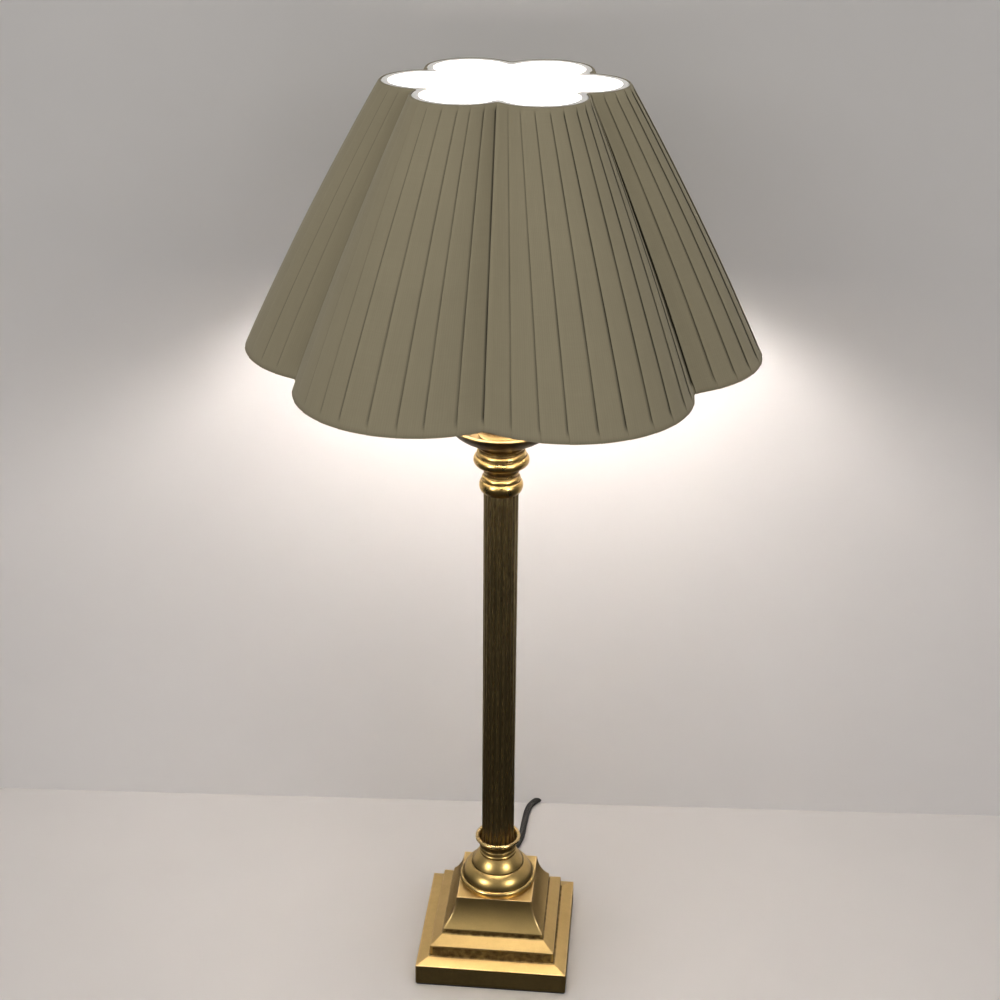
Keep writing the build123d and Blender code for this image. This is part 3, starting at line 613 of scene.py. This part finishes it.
def makeFoot(s):
    # one outline of (half width, height) carried round a square: down the rod hole, along the hollow
    # underside, out under the rim and up the outer steps
    wall = s["wall"]
    path = outline(
        (s["hole"], s["top"]), (s["hole"], s["webUnderside"]), (s["topHalf"] - wall, s["webUnderside"]),
        (s["plinthHalf"] - wall, s["plinthBottom"]), (s["plinthHalf"] - wall, s["ledge"]),
        (s["stepHalf"] - wall, s["ledge"]), (s["stepHalf"] - wall, s["stepBottom"] - wall),
        (s["half"] - wall, s["faceTop"] - wall), (s["half"] - wall, s["rebateTop"]),
        (s["rebateHalf"], s["rebateTop"]), (s["rebateHalf"], s["felt"]), (s["half"], s["felt"]),
        (s["half"], s["faceTop"]), (s["stepHalf"], s["stepBottom"]), (s["stepHalf"], s["stepTop"]),
        (s["plinthHalf"], s["plinthBottom"]), (s["plinthHalf"], s["caveBottom"]),
        (s["caveMiddle"], (s["topHalf"], s["top"])), spacing=1.6, soft=0.5, closed=True)
    half, height = path[:, 0], path[:, 1]
    # towards the rod hole the square turns into a circle
    square = s["topHalf"] - 1.5
    inward = np.clip((square - half) / (square - s["hole"]), 0, 1)
    corner = np.minimum(s["corner"] + (s["hole"] - s["corner"]) * inward, half)
    points, cornerMark = squareRing(half, height, corner, s)
    wearAndShading = wearAndShadingAlong(path, 0.9, closed=True)[:, None]
    steep = np.clip(uprightness(path), 0, 1)[:, None]
    # the upright bands are painted darker than the slopes, as painted shade for the dark room they mirror;
    # the hollow sides aren't
    isShadedBand = (steep > 0.98) & (height[:, None] < s["caveBottom"] + 0.2)
    grimeAndShade = np.where(height[:, None] > s["faceTop"] + 1, s["upperGrime"], s["rimGrime"])
    # upright corners of the square are marked as edges: worn brass with a painted highlight
    edges = np.where(wearAndShading < -0.1, wearAndShading, np.maximum(wearAndShading, 0.9 * cornerMark * steep))
    faces = gridFaces(*points.shape[:2], True, True)
    mesh = writeMesh("foot_steps", points.reshape(-1, 3), faces, {"wearAndShading": edges - isShadedBand * grimeAndShade})
    addPiece("foot_steps", mesh, castBrass, replaces=("base_casting",))


makeFoot(footSettings)
print("foot made")


# Turned brass

turnedSettings = {"hole": 5.15, "column": 13.5, "lip": 19.15, "rim": 41.8}


def shifted(low, *steps):
    # the same outline, raised by low
    return [tuple((x, z + low) for x, z in step) if isinstance(step[0], tuple) else (step[0], step[1] + low)
            for step in steps]


def makeTurned(s):
    hole, column, lip, rim = s["hole"], s["column"], s["lip"], s["rim"]
    # name: material, the node it replaces, its lowest height, its outline above that, and how it is divided
    # the dull heights mark bands under a lip or between parts that are painted darker as painted shade
    shapes = {
        "bell": (satinBrass, "base_bell", 69.5, [
            (hole, 0), (30.4, 0), (30.4, 1.4), ((32.1, 3.4), (30.9, 5.6)), (30.0, 5.8),
            ((27.6, 12.6), (22.4, 17.4)), (21.9, 17.3), (21.8, 17.9), ((19.4, 22.8), (15.4, 27.5)),
            (hole, 27.5)], {"segments": 144, "spacing": 0.8, "soft": 0.22}),
        "collar": (satinBrass, "foot_collar", 97.0, [
            (hole, 0), (14.9, 0), ((15.9, 1.6), (14.9, 3.2)), (14.2, 3.5), (14.2, 4.2),
            ((15.5, 5.4), (14.8, 6.9)), ((15.2, 10.0), (17.9, 13.4)), ((lip, 15.4), (17.7, 17.0)),
            ((16.1, 16.2), (15.7, 14.4)), ((15.0, 12.9), (column + 0.3, 12.0)), (column + 0.3, 11.0),
            (hole, 11.0)], {"spacing": 0.7, "soft": 0.25, "dull": ((97.0, 105.5),)}),
        "knop_low": (antiqueBrass, "lower_knop", 436.0, [
            (hole, 0), (14.2, 0), ((17.1, 4.9), (15.7, 9.9)), (15.1, 10.3), (15.0, 10.9),
            ((14.7, 12.8), (13.5, 14.2)), ((13.1, 15.3), (13.7, 16.6)), (hole, 16.6)],
            {"spacing": 0.7, "soft": 0.2, "dull": ((449.0, 454.0),)}),
        "knop_high": (antiqueBrass, "upper_knop", 452.6, [
            (hole, 0), (13.7, 0), ((15.5, 4.4), (19.7, 6.8)), ((21.6, 10.0), (20.1, 13.9)), (19.4, 14.3),
            (19.2, 14.9), ((18.9, 17.0), (17.3, 18.8)), ((17.0, 19.9), (17.5, 21)), (hole, 21)],
            {"spacing": 0.7, "soft": 0.2, "dull": ((450.0, 457.5), (470.5, 475.0))}),
        "pan": (panBrass, "drip_pan", 473.6, [
            (hole, 0), (17.5, 0), ((19.4, 3.4), (24.0, 6.4)), ((35.5, 12.2), (rim - 0.6, 18.9)),
            ((rim, 20.1), (rim - 0.9, 21.1)), (rim - 2.4, 21.1), ((34.0, 13.5), (24.0, 8)), (hole, 8)],
            {"segments": 160}),
        "cup": (panBrass, "candle_cup", 481.6, [
            (hole, 0), (17.5, 0), (17.5, 2.6), ((14.8, 4.2), (13.0, 7.0)), ((15.8, 22.0), (13.2, 34.0)),
            (14.2, 35.2), (14.2, 37.0), ((15.4, 41.0), (18.6, 44.4)), ((19.6, 46.8), (18.6, 48.4)),
            (16.4, 48.4), (16.4, 46.4), (hole, 46.4)], {"soft": 0.25}),
    }
    for name, (material, node, low, steps, divided) in shapes.items():
        turned(name, material, *shifted(low, *steps), closed=True, slot="antique_brass", replaces=(node,),
               **divided)


makeTurned(turnedSettings)

columnSettings = {
    "radius": 13.5, "bore": 11.4, "bottom": 108.0, "top": 436.0,
    "flutes": 20, "depth": 0.9, "share": 0.76, "hollow": 12, "arris": 5, "rows": 28,
}


def makeColumn(s):
    # a fluted tube: within a flute the radius follows the circle through its edges and its deepest point,
    # and between flutes it keeps the full radius, rounded where the two meet
    pitch = turnAll / s["flutes"]
    halfFlute = pitch * s["share"] / 2
    a = np.concatenate([np.linspace(-halfFlute, halfFlute, s["hollow"], endpoint=False),
                        np.linspace(halfFlute, pitch - halfFlute, s["arris"], endpoint=False)])
    inFlute = np.abs(a) <= halfFlute
    hollow = s["depth"] * (1 - (a / halfFlute) ** 2)
    flat = np.abs(a - pitch / 2) / (pitch / 2 - halfFlute)
    radius = s["radius"] - np.where(inFlute, hollow, 0.06 * np.clip(flat, 0, 1) ** 4)
    # flute hollows are marked dark, patina and painted shade, and the arrises light, worn brass and a painted
    # highlight
    wearAndShading = np.where(inFlute, 0.35 - 1.3 * (1 - (a / halfFlute) ** 2), 1.0)
    angle = (np.arange(s["flutes"])[:, None] * pitch + a).ravel()
    radius, wearAndShading = np.tile(radius, s["flutes"]), np.tile(wearAndShading, s["flutes"])
    walls = [(radius, z, wearAndShading) for z in np.linspace(s["bottom"], s["top"], s["rows"])]
    walls += [(0 * radius + s["bore"], z, 0 * wearAndShading) for z in (s["top"], s["bottom"])]
    points = np.stack([np.stack([r * np.cos(angle), r * np.sin(angle), 0 * r + z], -1) for r, z, _ in walls])
    faces = gridFaces(*points.shape[:2], True, True)
    mesh = writeMesh("column", points.reshape(-1, 3), faces, {"wearAndShading": np.stack([w for _, _, w in walls])})
    addPiece("column", mesh, columnBrass, replaces=("column_tube",))


makeColumn(columnSettings)
print("turned brass made")


# Lampholder and bulb

holderSettings = {
    "hole": 5.15, "cap": 19.0, "capLow": 528.0, "wall": 1.2, "sleeve": 545.0, "shoulder": 580.0,
    "barrel": 19.4, "thread": 0.7, "top": 600.0, "bore": 17.5,
}


def makeHolder(s):
    hole, cap, wall, sleeve, shoulder = (s[k] for k in ("hole", "cap", "wall", "sleeve", "shoulder"))
    barrel, thread, top, bore = (s[k] for k in ("barrel", "thread", "top", "bore"))
    turned("holder_dish", holderBrass, *shifted(
        s["capLow"], (hole, 0), (9.0, 0), (9.0, 3.0), ((15.6, 6.0), (cap, 12.0)), (cap, 17),
        (cap - wall, 17), (cap - wall, 12.5), ((14.6, 7.4), (9.0, 4.4)), (hole, 4.4)), closed=True,
        slot="holder_brass", replaces=("holder_cap",), soft=0.25)
    screwed = [(barrel - thread * (k % 2), shoulder + 4 + 0.75 * k) for k in range(20)]
    turned("holder_sleeve", holderBrass, (cap - wall, sleeve), (cap, sleeve), (cap + 0.5, sleeve + 0.6),
           (cap + 0.5, sleeve + 2.0), (cap, sleeve + 2.6), (cap, shoulder - 4),
           ((20.4, shoulder - 2.4), (24.0, shoulder - 2)), (24.0, shoulder), (barrel, shoulder), *screwed,
           (barrel - thread, top), (bore, top), (bore, sleeve + 1.4), (cap - wall, sleeve + 1.4),
           closed=True, slot="holder_brass", replaces=("lampholder_body",), soft=0.2, spacing=1.2)


makeHolder(holderSettings)

bulbSettings = {
    "low": 602.6, "middle": 654.0, "radius": 30.0, "foot": 12.6, "jointTurn": -28, "shoulderTurn": 31,
    "glow": (1.0, 0.92, 0.88), "power": 152.0,
}


def bulbOutline(s):
    # a globe on a waisted neck
    radius, foot, low, middle = s["radius"], s["foot"], s["low"], s["middle"]
    jointTurn, shoulderTurn = math.radians(s["jointTurn"]), math.radians(s["shoulderTurn"])
    joint = (radius * math.cos(jointTurn), middle + radius * math.sin(jointTurn))
    shoulder = (radius * math.cos(shoulderTurn), middle + radius * math.sin(shoulderTurn))
    neck = ((foot + joint[0]) / 2 - 0.5, (low + 3 + joint[1]) / 2)
    return [(0.0, low), (foot, low), (foot, low + 3), (neck, joint), (shoulder, (0.0, middle + radius))]


def makeBulb(s):
    material, tree, shader = newMaterial("opalGlass")
    milky = remap(tree, noise(tree, objectPlace(tree), 60, 3), 0.3, 0.7, 0.98, 1.02)
    fillInputs(tree, shader, {"Emission Color": scaleColor(tree, s["glow"], milky), "Roughness": 0.25,
                              "Emission Strength": s["power"], "Base Color": (0.9, 0.88, 0.84, 1)})
    turned("bulb_globe", material, *bulbOutline(s), body="bulb", slot="opal_glass",
           replaces=("bulb_glass",), segments=48, spacing=3.0)


makeBulb(bulbSettings)
print("lampholder and bulb made")


# Cord: one smooth line through the route and the coil, then a braided tube along it

cordSettings = {
    "radius": 0.003,
    "exit": (0.0, 0.0935, 0.0095),
    "route": [(0.0, 0.0935, 0.0095), (0.0, 0.108, 0.0095), (0.004, 0.126, 0.0044),
              (0.0094, 0.145, 0.003), (0.0102, 0.166, 0.003), (0.0112, 0.187, 0.003),
              (0.0142, 0.203, 0.003), (0.026, 0.2155, 0.0032)],
    "leadIn": 0.021,
    "center": (0.074, 0.271), "lift": 0.001, "coilRadius": 0.0363, "turns": 7.25, "pitch": 0.0066,
    "start": 0.006, "tail": 0.018, "pointsPerTurn": 20,
    "sides": 16, "ringStep": 0.0022,
}


def coilLine(angle, s):
    # a spiral inwards on the lower layer, a climb in half a turn while it reverses, and a spiral outwards
    # on the upper layer
    slope = s["pitch"] / turnAll
    climb = (turnAll * s["turns"] - math.pi) / 2
    inner = s["coilRadius"] - slope * climb / 2
    outer = inner + slope * climb
    along = angle - climb
    middle = np.clip(along, 0, math.pi)
    dip = -middle * (1 - middle / math.pi)
    radius = inner + slope * np.where(along < 0, -along, np.where(along > math.pi, along - math.pi, dip))
    height = s["radius"] + s["lift"] + s["pitch"] * (1 - np.cos(middle)) / 2
    around = angle - math.pi / 2 - math.atan(slope / outer)
    return np.stack([s["center"][0] + radius * np.cos(around), s["center"][1] + radius * np.sin(around),
                     height], -1)


def unit(way):
    return way / np.linalg.norm(way)


def cordRoute(s):
    last, small = turnAll * s["turns"], 1e-4
    coil = coilLine(np.linspace(0, last, int(s["turns"] * s["pointsPerTurn"]) + 1), s)
    firstWay, lastWay = (unit(np.diff(coilLine(np.array(ends), s), axis=0)[0])
                         for ends in ([0, small], [last - small, last]))
    begin = coil[0] - firstWay * s["start"]
    ahead = begin - np.array([s["leadIn"], 0, 0])
    end = coil[-1] + lastWay * s["tail"]
    return np.concatenate([np.array(s["route"]), [ahead, begin], coil, [end]])


def lineThrough(route, resolution=10):
    # the NURBS line of the route, read back as points
    data = bpy.data.curves.new("cord_line", "CURVE")
    data.dimensions = "3D"
    data.resolution_u = resolution
    spline = data.splines.new("NURBS")
    spline.points.add(len(route) - 1)
    spline.points.foreach_set("co", np.concatenate([route, np.ones((len(route), 1))], 1).ravel())
    spline.order_u = 3
    spline.use_endpoint_u = True
    holder = newObject("cord_line", data)
    bpy.context.view_layer.update()
    read = bpy.data.meshes.new_from_object(holder.evaluated_get(bpy.context.evaluated_depsgraph_get()))
    line = readArray(read.vertices, "co", 3 * len(read.vertices), float)
    bpy.data.objects.remove(holder)
    bpy.data.meshes.remove(read)
    return line.reshape(-1, 3)


def evenly(line, step):
    # the line divided again into even steps
    length = np.concatenate([[0], np.cumsum(np.linalg.norm(np.diff(line, axis=0), axis=1))])
    at = np.linspace(0, length[-1], int(length[-1] / step) + 1)
    return np.stack([np.interp(at, length, line[:, k]) for k in range(3)], 1), at


def tubeAlong(line, radius, sides):
    # rings across the line: each ring is radius times (cos a of the side way, sin a of the up way)
    way = np.gradient(line, axis=0)
    way /= np.linalg.norm(way, axis=1, keepdims=True)
    side = np.cross(way, [0, 0, 1.0])
    side /= np.linalg.norm(side, axis=1, keepdims=True)
    up = np.cross(side, way)
    angle = np.arange(sides) * turnAll / sides
    ring = np.cos(angle)[None, :, None] * side[:, None] + np.sin(angle)[None, :, None] * up[:, None]
    return line[:, None] + np.reshape(radius, (-1, 1, 1)) * ring


def makeBraid():
    # two sets of strands wound both ways: a strand shows where its sine is the greater one
    material, tree, shader = newMaterial("cordBraid")
    place = addNode(tree, "UVMap", uv_map="along").outputs["UV"]
    split = addNode(tree, "SeparateXYZ", {0: place})
    along, around = split.outputs["X"], split.outputs["Y"]
    strands, lay = 8.0, 900.0
    lengthwise, crosswise = times(tree, along, lay), times(tree, around, strands * turnAll)
    one = calc(tree, "SINE", calc(tree, "ADD", lengthwise, crosswise))
    two = calc(tree, "SINE", calc(tree, "SUBTRACT", lengthwise, crosswise))
    height = calc(tree, "MAXIMUM", one, two)
    over = remap(tree, calc(tree, "SUBTRACT", one, two), -0.3, 0.3)
    fuzz = noise(tree, objectPlace(tree), 2600, 2)
    color = blendColors(tree, over, (0.028, 0.026, 0.022), (0.012, 0.0112, 0.0095))
    color = blendColors(tree, remap(tree, fuzz, 0.5, 0.75, 0, 0.5), color, (0.055, 0.052, 0.047))
    fillInputs(tree, shader, {"Base Color": color, "Roughness": 0.75,
                              "Normal": relief(tree, timesPlus(tree, fuzz, 0.4, height), 0.6, 0.0004)})
    return material


def makeCord(s):
    line, at = evenly(lineThrough(cordRoute(s)), s["ringStep"])
    rings = tubeAlong(line, s["radius"], s["sides"])
    rings = np.concatenate([rings[:1] * 0 + line[0], rings, rings[-1:] * 0 + line[-1]])
    distance = np.concatenate([[at[0]], at, [at[-1]]])
    faces = gridFaces(len(rings), s["sides"], False, True)
    across = np.arange(s["sides"] + 1) / s["sides"]
    uv = gridUv(distance[:, None] + 0 * across, 0 * distance[:, None] + across)
    mesh = writeMesh("flex", rings.reshape(-1, 3) / mm, faces, uv=uv)
    flex = addPiece("flex", mesh, makeBraid(), replaces=("cord", "cord_coil"))
    print("cord length", round(at[-1], 3))


makeCord(cordSettings)


# Shade: six lobes meet in cusps, its cloth in knife pleats

shadeSettings = {
    "lobes": 6, "turn": 1.0, "top": 749.5, "bottom": 553.5,
    "topCusp": 67.9, "topLobe": 88.0, "bottomCusp": 161.0, "bottomLobe": 191.7, "bow": 3.0,
    "pleats": 10, "pleatSpan": 15.0, "cuspRound": 3.0, "bridgeBottom": 9.0, "bridgeTop": 4.0, "seed": 11,
    "bottomFade": (3.5, 9.5), "topFade": (2.0, 6.0),
    "liningOuter": 6.6, "liningInner": 7.3,
}

# across one pleat: share of its width, and depth in millimetres under the shade's outer face. The panel
# falls from its fold to the next one, runs on underneath, turns at the inner fold and comes back to the
# next nose. The third number is the share at the hems, where the pleat lies flat.
pleatSection = [
    (-0.018, 0.20, 0.0), (-0.006, 0.04, 0.006), (0.03, 0.0, 0.035), (0.22, 0.16, 0.22), (0.45, 0.36, 0.45),
    (0.68, 0.58, 0.68), (0.86, 0.76, 0.86), (0.985, 1.0, 0.972), (1.12, 1.10, 0.977), (1.25, 1.10, 0.981),
    (1.275, 0.98, 0.985), (1.25, 0.86, 0.989), (1.12, 0.76, 0.993), (1.0, 0.52, 0.997),
]


def lobeCircle(level, s):
    # centre distance, radius and half angle of the lobes' circles, at a level from 0, the bottom, to 1
    bow = s["bow"] * 4 * level * (1 - level)
    cusp = s["bottomCusp"] + (s["topCusp"] - s["bottomCusp"]) * level + bow
    lobe = s["bottomLobe"] + (s["topLobe"] - s["bottomLobe"]) * level + bow
    half, chord = cusp * math.sin(math.pi / s["lobes"]), cusp * math.cos(math.pi / s["lobes"])
    radius = (half ** 2 + (lobe - chord) ** 2) / (2 * (lobe - chord))
    return lobe - radius, radius, np.arctan2(half, chord - (lobe - radius))


def onLobe(place, level, inset, s):
    # place counts lobes, its fraction is the share of that lobe's arc, and inset is towards the lobe's centre
    lobe = np.floor(place)
    center, radius, swing = lobeCircle(level, s)
    axis = math.radians(s["turn"]) - math.pi / 2 + (lobe + 0.5) * turnAll / s["lobes"]
    turn = swing * (2 * (place - lobe) - 1)
    x = center + (radius - inset) * np.cos(turn)
    y = (radius - inset) * np.sin(turn)
    height = s["bottom"] + (s["top"] - s["bottom"]) * level
    turnedX, turnedY = x * np.cos(axis) - y * np.sin(axis), x * np.sin(axis) + y * np.cos(axis)
    return np.stack(np.broadcast_arrays(turnedX, turnedY, height), -1)


def roundedLobe(angle, level, inset, s):
    # distance from the axis: c cos a + sqrt(r^2 - c^2 sin^2 a) on a lobe's circle, and near a cusp
    # h cos b - sqrt(q^2 - h^2 sin^2 b) on the small arc that rounds it
    center, radius, _ = lobeCircle(level, s)
    radius = radius - inset
    step, small = turnAll / s["lobes"], s["cuspRound"]
    offCusp = (angle - math.radians(s["turn"]) + math.pi / 2 + step / 2) % step - step / 2
    offMiddle = step / 2 - np.abs(offCusp)
    wide = center * np.cos(offMiddle) + np.sqrt(radius ** 2 - (center * np.sin(offMiddle)) ** 2)
    hub = center * math.cos(step / 2) + np.sqrt((radius + small) ** 2 - (center * math.sin(step / 2)) ** 2)
    touchX = center + (hub * math.cos(step / 2) - center) * radius / (radius + small)
    touchY = hub * math.sin(step / 2) * radius / (radius + small)
    touch = step / 2 - np.arctan2(touchY, touchX)
    tight = hub * np.cos(offCusp) - np.sqrt(np.maximum(small ** 2 - (hub * np.sin(offCusp)) ** 2, 0))
    reach = np.where(np.abs(offCusp) < touch, tight, wide)
    height = s["bottom"] + (s["top"] - s["bottom"]) * level
    return np.stack(np.broadcast_arrays(reach * np.cos(angle), reach * np.sin(angle), height), -1)


def lobeRows(angle, ways, s):
    # the rounded outline at each pair of a height and an inset
    tall = s["top"] - s["bottom"]
    return np.stack([roundedLobe(angle, np.array([[(z - s["bottom"]) / tall]]), i, s)[0] for z, i in ways])


def smoothStep(value, low, high):
    t = np.clip((value - low) / (high - low), 0, 1)
    return t * t * (3 - 2 * t)


def bridgeCusps(points, level, s):
    # at the cusps the cloth bridges the corner in a wider arc than the frame's, widest at the bottom
    around, reach = np.arctan2(points[..., 1], points[..., 0]), np.hypot(points[..., 0], points[..., 1])
    span = s["bridgeBottom"] + (s["bridgeTop"] - s["bridgeBottom"]) * level
    arcs = (roundedLobe(around, level, 0.0, {**s, "cuspRound": small}) for small in (span, 0.02))
    bridged, cornered = (np.hypot(arc[..., 0], arc[..., 1]) for arc in arcs)
    points[..., :2] *= (1 + (bridged - cornered) / reach)[..., None]


def makeCloth(material, s):
    section = np.array(pleatSection)
    perLobe, lobes, count = s["pleats"], s["lobes"], len(pleatSection)
    draw = np.random.default_rng(s["seed"])
    tall = s["top"] - s["bottom"]
    # each fold wanders a little, more at one end than at the other, but stays put at the cusps
    fold = np.arange(lobes * perLobe)
    loose = np.where(fold % perLobe == 0, 0.25, 1.0)
    wander = draw.normal(0, 0.045, (2, len(fold))) * loose
    deep = draw.uniform(0.8, 1.2, len(fold)) * np.where(fold % perLobe == perLobe - 1, 1.5, 1.0)
    lean = draw.normal(0, 0.10, (2, len(fold)))

    above = np.concatenate([
        [0.0, 1.2, 2.4, 3.6, 4.8, 6.0, 7.2, 8.4, 9.6, 11.5, 15, 22], np.linspace(32, tall - 24, 15),
        tall - np.array([16, 10, 7, 6, 5, 4, 3, 2, 1.0])])
    level = (above / tall)[:, None]
    folded = (smoothStep(above, *s["bottomFade"]) * smoothStep(tall - above, *s["topFade"]))[:, None]
    pleat = np.repeat(fold, count)[None]
    share, depth, flatShare = (np.tile(section[:, k], len(fold))[None] for k in range(3))

    def foldAt(which):
        return wander[0][which] * (1 - level) + wander[1][which] * level

    start = pleat + foldAt(pleat)
    pleatWidth = 1 + foldAt((pleat + 1) % len(fold)) - foldAt(pleat)
    place = (start + (flatShare + (share - flatShare) * folded) * pleatWidth) / perLobe
    tipped = lean[0][pleat] * (1 - level) + lean[1][pleat] * level
    crown = 0.12 * np.sin(np.pi * np.clip(share, 0, 1)) * deep[pleat]
    inset = depth * deep[pleat] * (0.35 + 0.65 * folded) - (crown + tipped * np.clip(share, 0, 1)) * folded
    ripple = 0.10 * np.sin(place * 23 + level * 9) * np.sin(place * 11 - level * 5 + 1.3)
    inset = np.maximum(inset + 0.14 + ripple * folded, 0.0)
    outer = onLobe(place, level, inset, s)
    bridgeCusps(outer, level, s)

    # the smooth back: over the top hem, down inside and round the bottom hem
    flat = onLobe((pleat + flatShare) / perLobe, np.array([[0.5]]), 0.0, s)[0]
    angle = np.arctan2(flat[:, 1], flat[:, 0])[None]
    low, high = s["bottom"], s["top"]
    ways = [(high - 0.2, 0.55), (high - 0.02, 0.9), (high - 0.02, 1.35), (high - 0.3, 1.75)]
    ways += [(z, 1.9) for z in np.linspace(high - 4, low + 4, 10)]
    ways += [(low + 0.3, 1.75), (low + 0.02, 1.35), (low + 0.02, 0.9), (low + 0.2, 0.55)]
    points = np.concatenate([outer, lobeRows(angle, ways, s)])
    rows, columns = points.shape[:2]

    # the folded-under part of each pleat is painted darker, painted shade in the gap under the next pleat;
    # some folds stand open and show a darker line, and each line fades and darkens along its length
    gape = draw.uniform(0.55, 1.0, (3, len(fold)))
    strength = gape[0][pleat] + (gape[1][pleat] - 1) * np.sin(level * 9 + gape[2][pleat] * 40) ** 2 * 0.6
    foldShadeMark = smoothStep(share + 0 * level, 0.86, 0.99) * folded * np.where(share > 1, 1, strength)
    # painted highlight: the outer fold of each pleat is lighter
    nose = np.exp(-(share / 0.05) ** 2) * folded
    hem = np.maximum(1 - above / 3, 0)[:, None] + 0 * share
    back = np.zeros((len(ways), columns))
    marks = {"fold": np.concatenate([foldShadeMark, back]), "nose": np.concatenate([nose, back]),
             "hem": np.concatenate([hem, back + 1])}
    # the weave's place is in millimetres, along the hem and up the cloth
    across = np.arange(columns + 1) / count * s["pleatSpan"] + np.zeros((rows + 1, 1))
    drop = np.concatenate([[0], np.cumsum(np.linalg.norm(np.diff(points[:, 0], axis=0), axis=1))])
    upward = np.append(drop, drop[-1] + 3)[:, None] + 0 * across
    mesh = writeMesh("shade_cloth", points.reshape(-1, 3), gridFaces(rows, columns, True, True), marks,
                     gridUv(across, upward))
    return addPiece("shade_cloth", mesh, material, "shade", ("shade_fabric",))


def makeWeave():
    # a plain weave from two sets of threads at the cloth's own scale: height and tone
    group, given, out = newGroup("plainWeave", {"Where": None, "Pitch": 0.45, "Slub": 0.3},
                                 {"Height": "Float", "Tone": "Float"})
    split = addNode(group, "SeparateXYZ", {0: given["Where"]})
    rate = calc(group, "DIVIDE", turnAll / 2, given["Pitch"])
    warp, weft = (calc(group, "SINE", times(group, split.outputs[k], rate)) for k in "XY")
    crossing = times(group, warp, weft)
    raised = (times(group, calc(group, "ABSOLUTE", thread), timesPlus(group, crossing, sign, 0.5))
              for thread, sign in ((warp, 0.5), (weft, -0.5)))
    high = calc(group, "MAXIMUM", *raised)
    slubs = (noise(group, stretched(group, given["Where"], scale), 1.0, 2)
             for scale in ((0.05, 2.2, 1), (2.2, 0.05, 1)))
    slub = times(group, calc(group, "SUBTRACT", calc(group, "ADD", *slubs), 1.0), given["Slub"])
    group.links.new(calc(group, "ADD", high, slub), out["Height"])
    group.links.new(timesPlus(group, high, 0.12, slub), out["Tone"])
    return group


weave = makeWeave()


def makeClothMaterial(name, color, pitch, slub, foldShadeDepth=0.0, noseHighlight=0.0, hemDark=0.0):
    material, tree, shader = newMaterial(name)
    place = addNode(tree, "UVMap", uv_map="along").outputs["UV"]
    look = useGroup(tree, weave, Where=place, Pitch=pitch, Slub=slub)
    cloud = noise(tree, objectPlace(tree), 22, 4, 0.55)
    light = calc(tree, "ADD", timesPlus(tree, cloud, 0.10, 0.93), look["Tone"])
    # painted highlight on each pleat's outer fold
    if noseHighlight:
        light = timesPlus(tree, attribute(tree, "nose"), noseHighlight, light)
    # painted shade: the folded-under part of each pleat is darker; the hem and the cloth's back are darker
    # too
    if foldShadeDepth:
        light = times(tree, light, timesPlus(tree, attribute(tree, "fold"), -foldShadeDepth, 1.0))
        light = times(tree, light, timesPlus(tree, attribute(tree, "hem"), -hemDark, 1.0))
    fillInputs(tree, shader, {
        "Base Color": scaleColor(tree, color, light), "Normal": relief(tree, look["Height"], 0.35, 0.00012),
        "Roughness": 0.85, "Specular IOR Level": 0.25, "Sheen Weight": 0.12, "Sheen Roughness": 0.45})
    return material


pleatedCloth = makeClothMaterial("pleatedCloth", (0.335, 0.294, 0.193), 0.42, 0.10, 0.85, 0.06, 0.25)
liningCloth = makeClothMaterial("liningCloth", (0.86, 0.85, 0.82), 0.35, 0.03)


def makeLining(s):
    # a thin smooth skin inside the wires, closed over both rims
    across, up = 432, 18
    angle = np.arange(across)[None] * turnAll / across
    low, high = s["bottom"], s["top"]
    outer, inner = s["liningOuter"], s["liningInner"]
    near, thick = 2.1, 0.35
    # up the inner face, over the top wire and down behind it, back under, and the same way round the
    # bottom wire
    over = [(high - 1.0, inner - 0.1), (high - 0.35, inner - 0.6), (high - 0.15, inner - 1.4),
            (high - 0.15, near + 0.7), (high - 0.3, near + 0.15), (high - 0.8, near), (high - 4.6, near),
            (high - 4.6, near + thick), (high - 0.95, near + thick), (high - 0.5, near + 0.8),
            (high - 0.5, inner - 1.6), (high - 0.8, inner - 0.9), (high - 1.6, outer)]
    under = [(low + high - z, i) for z, i in over[::-1]]
    run = np.linspace(high - 3, low + 3, up)
    points = lobeRows(angle, [(z, inner) for z in run[::-1]] + over + [(z, outer) for z in run] + under, s)
    rows, columns = points.shape[:2]
    uv = gridUv(*np.meshgrid(np.arange(columns + 1) * 2.1, np.arange(rows + 1) * 9.0))
    mesh = writeMesh("shade_inner", points.reshape(-1, 3), gridFaces(rows, columns, True, True), uv=uv)
    return addPiece("shade_inner", mesh, liningCloth, "shade", ("shade_lining",))


cloth = makeCloth(pleatedCloth, shadeSettings)
inner = makeLining(shadeSettings)
print("shade made")


# Finish of the nodes that stay

nodeFinish = {
    "zincSteel": ["cover_screws", "weight_screws", "threaded_rod", "clamp_washer", "clamp_nut",
                  "rod_locknut"],
    "castIron": ["base_weight", "bottom_cover"],
    "baseFelt": ["felt_pad"],
    "plainBrass": ["earth_tag", "column_bush_lower", "column_bush_upper", "shade_ring", "socket_thread",
                   "centre_contact", "plug_pins"],
    "blackRubber": ["cord_grommet", "plug_strain_relief", "inner_flex"],
    "blackPlastic": ["switch_block", "switch_bar", "plug_body", "bulb_insulator"],
    "earthSheath": ["earth_wire"],
    "porcelain": ["socket_insert"],
    "bulbMetal": ["bulb_cap", "bulb_tip"],
    "whiteWire": ["shade_gallery", "shade_arms", "shade_top_wire", "shade_bottom_wire", "shade_struts"],
    "tieStrap": ["cord_tie"],
}

for finish, members in nodeFinish.items():
    for member in members:
        slots = nodes[member].data.materials
        slots.clear()
        slots.append(bpy.data.materials[finish])
print("nodes finished")
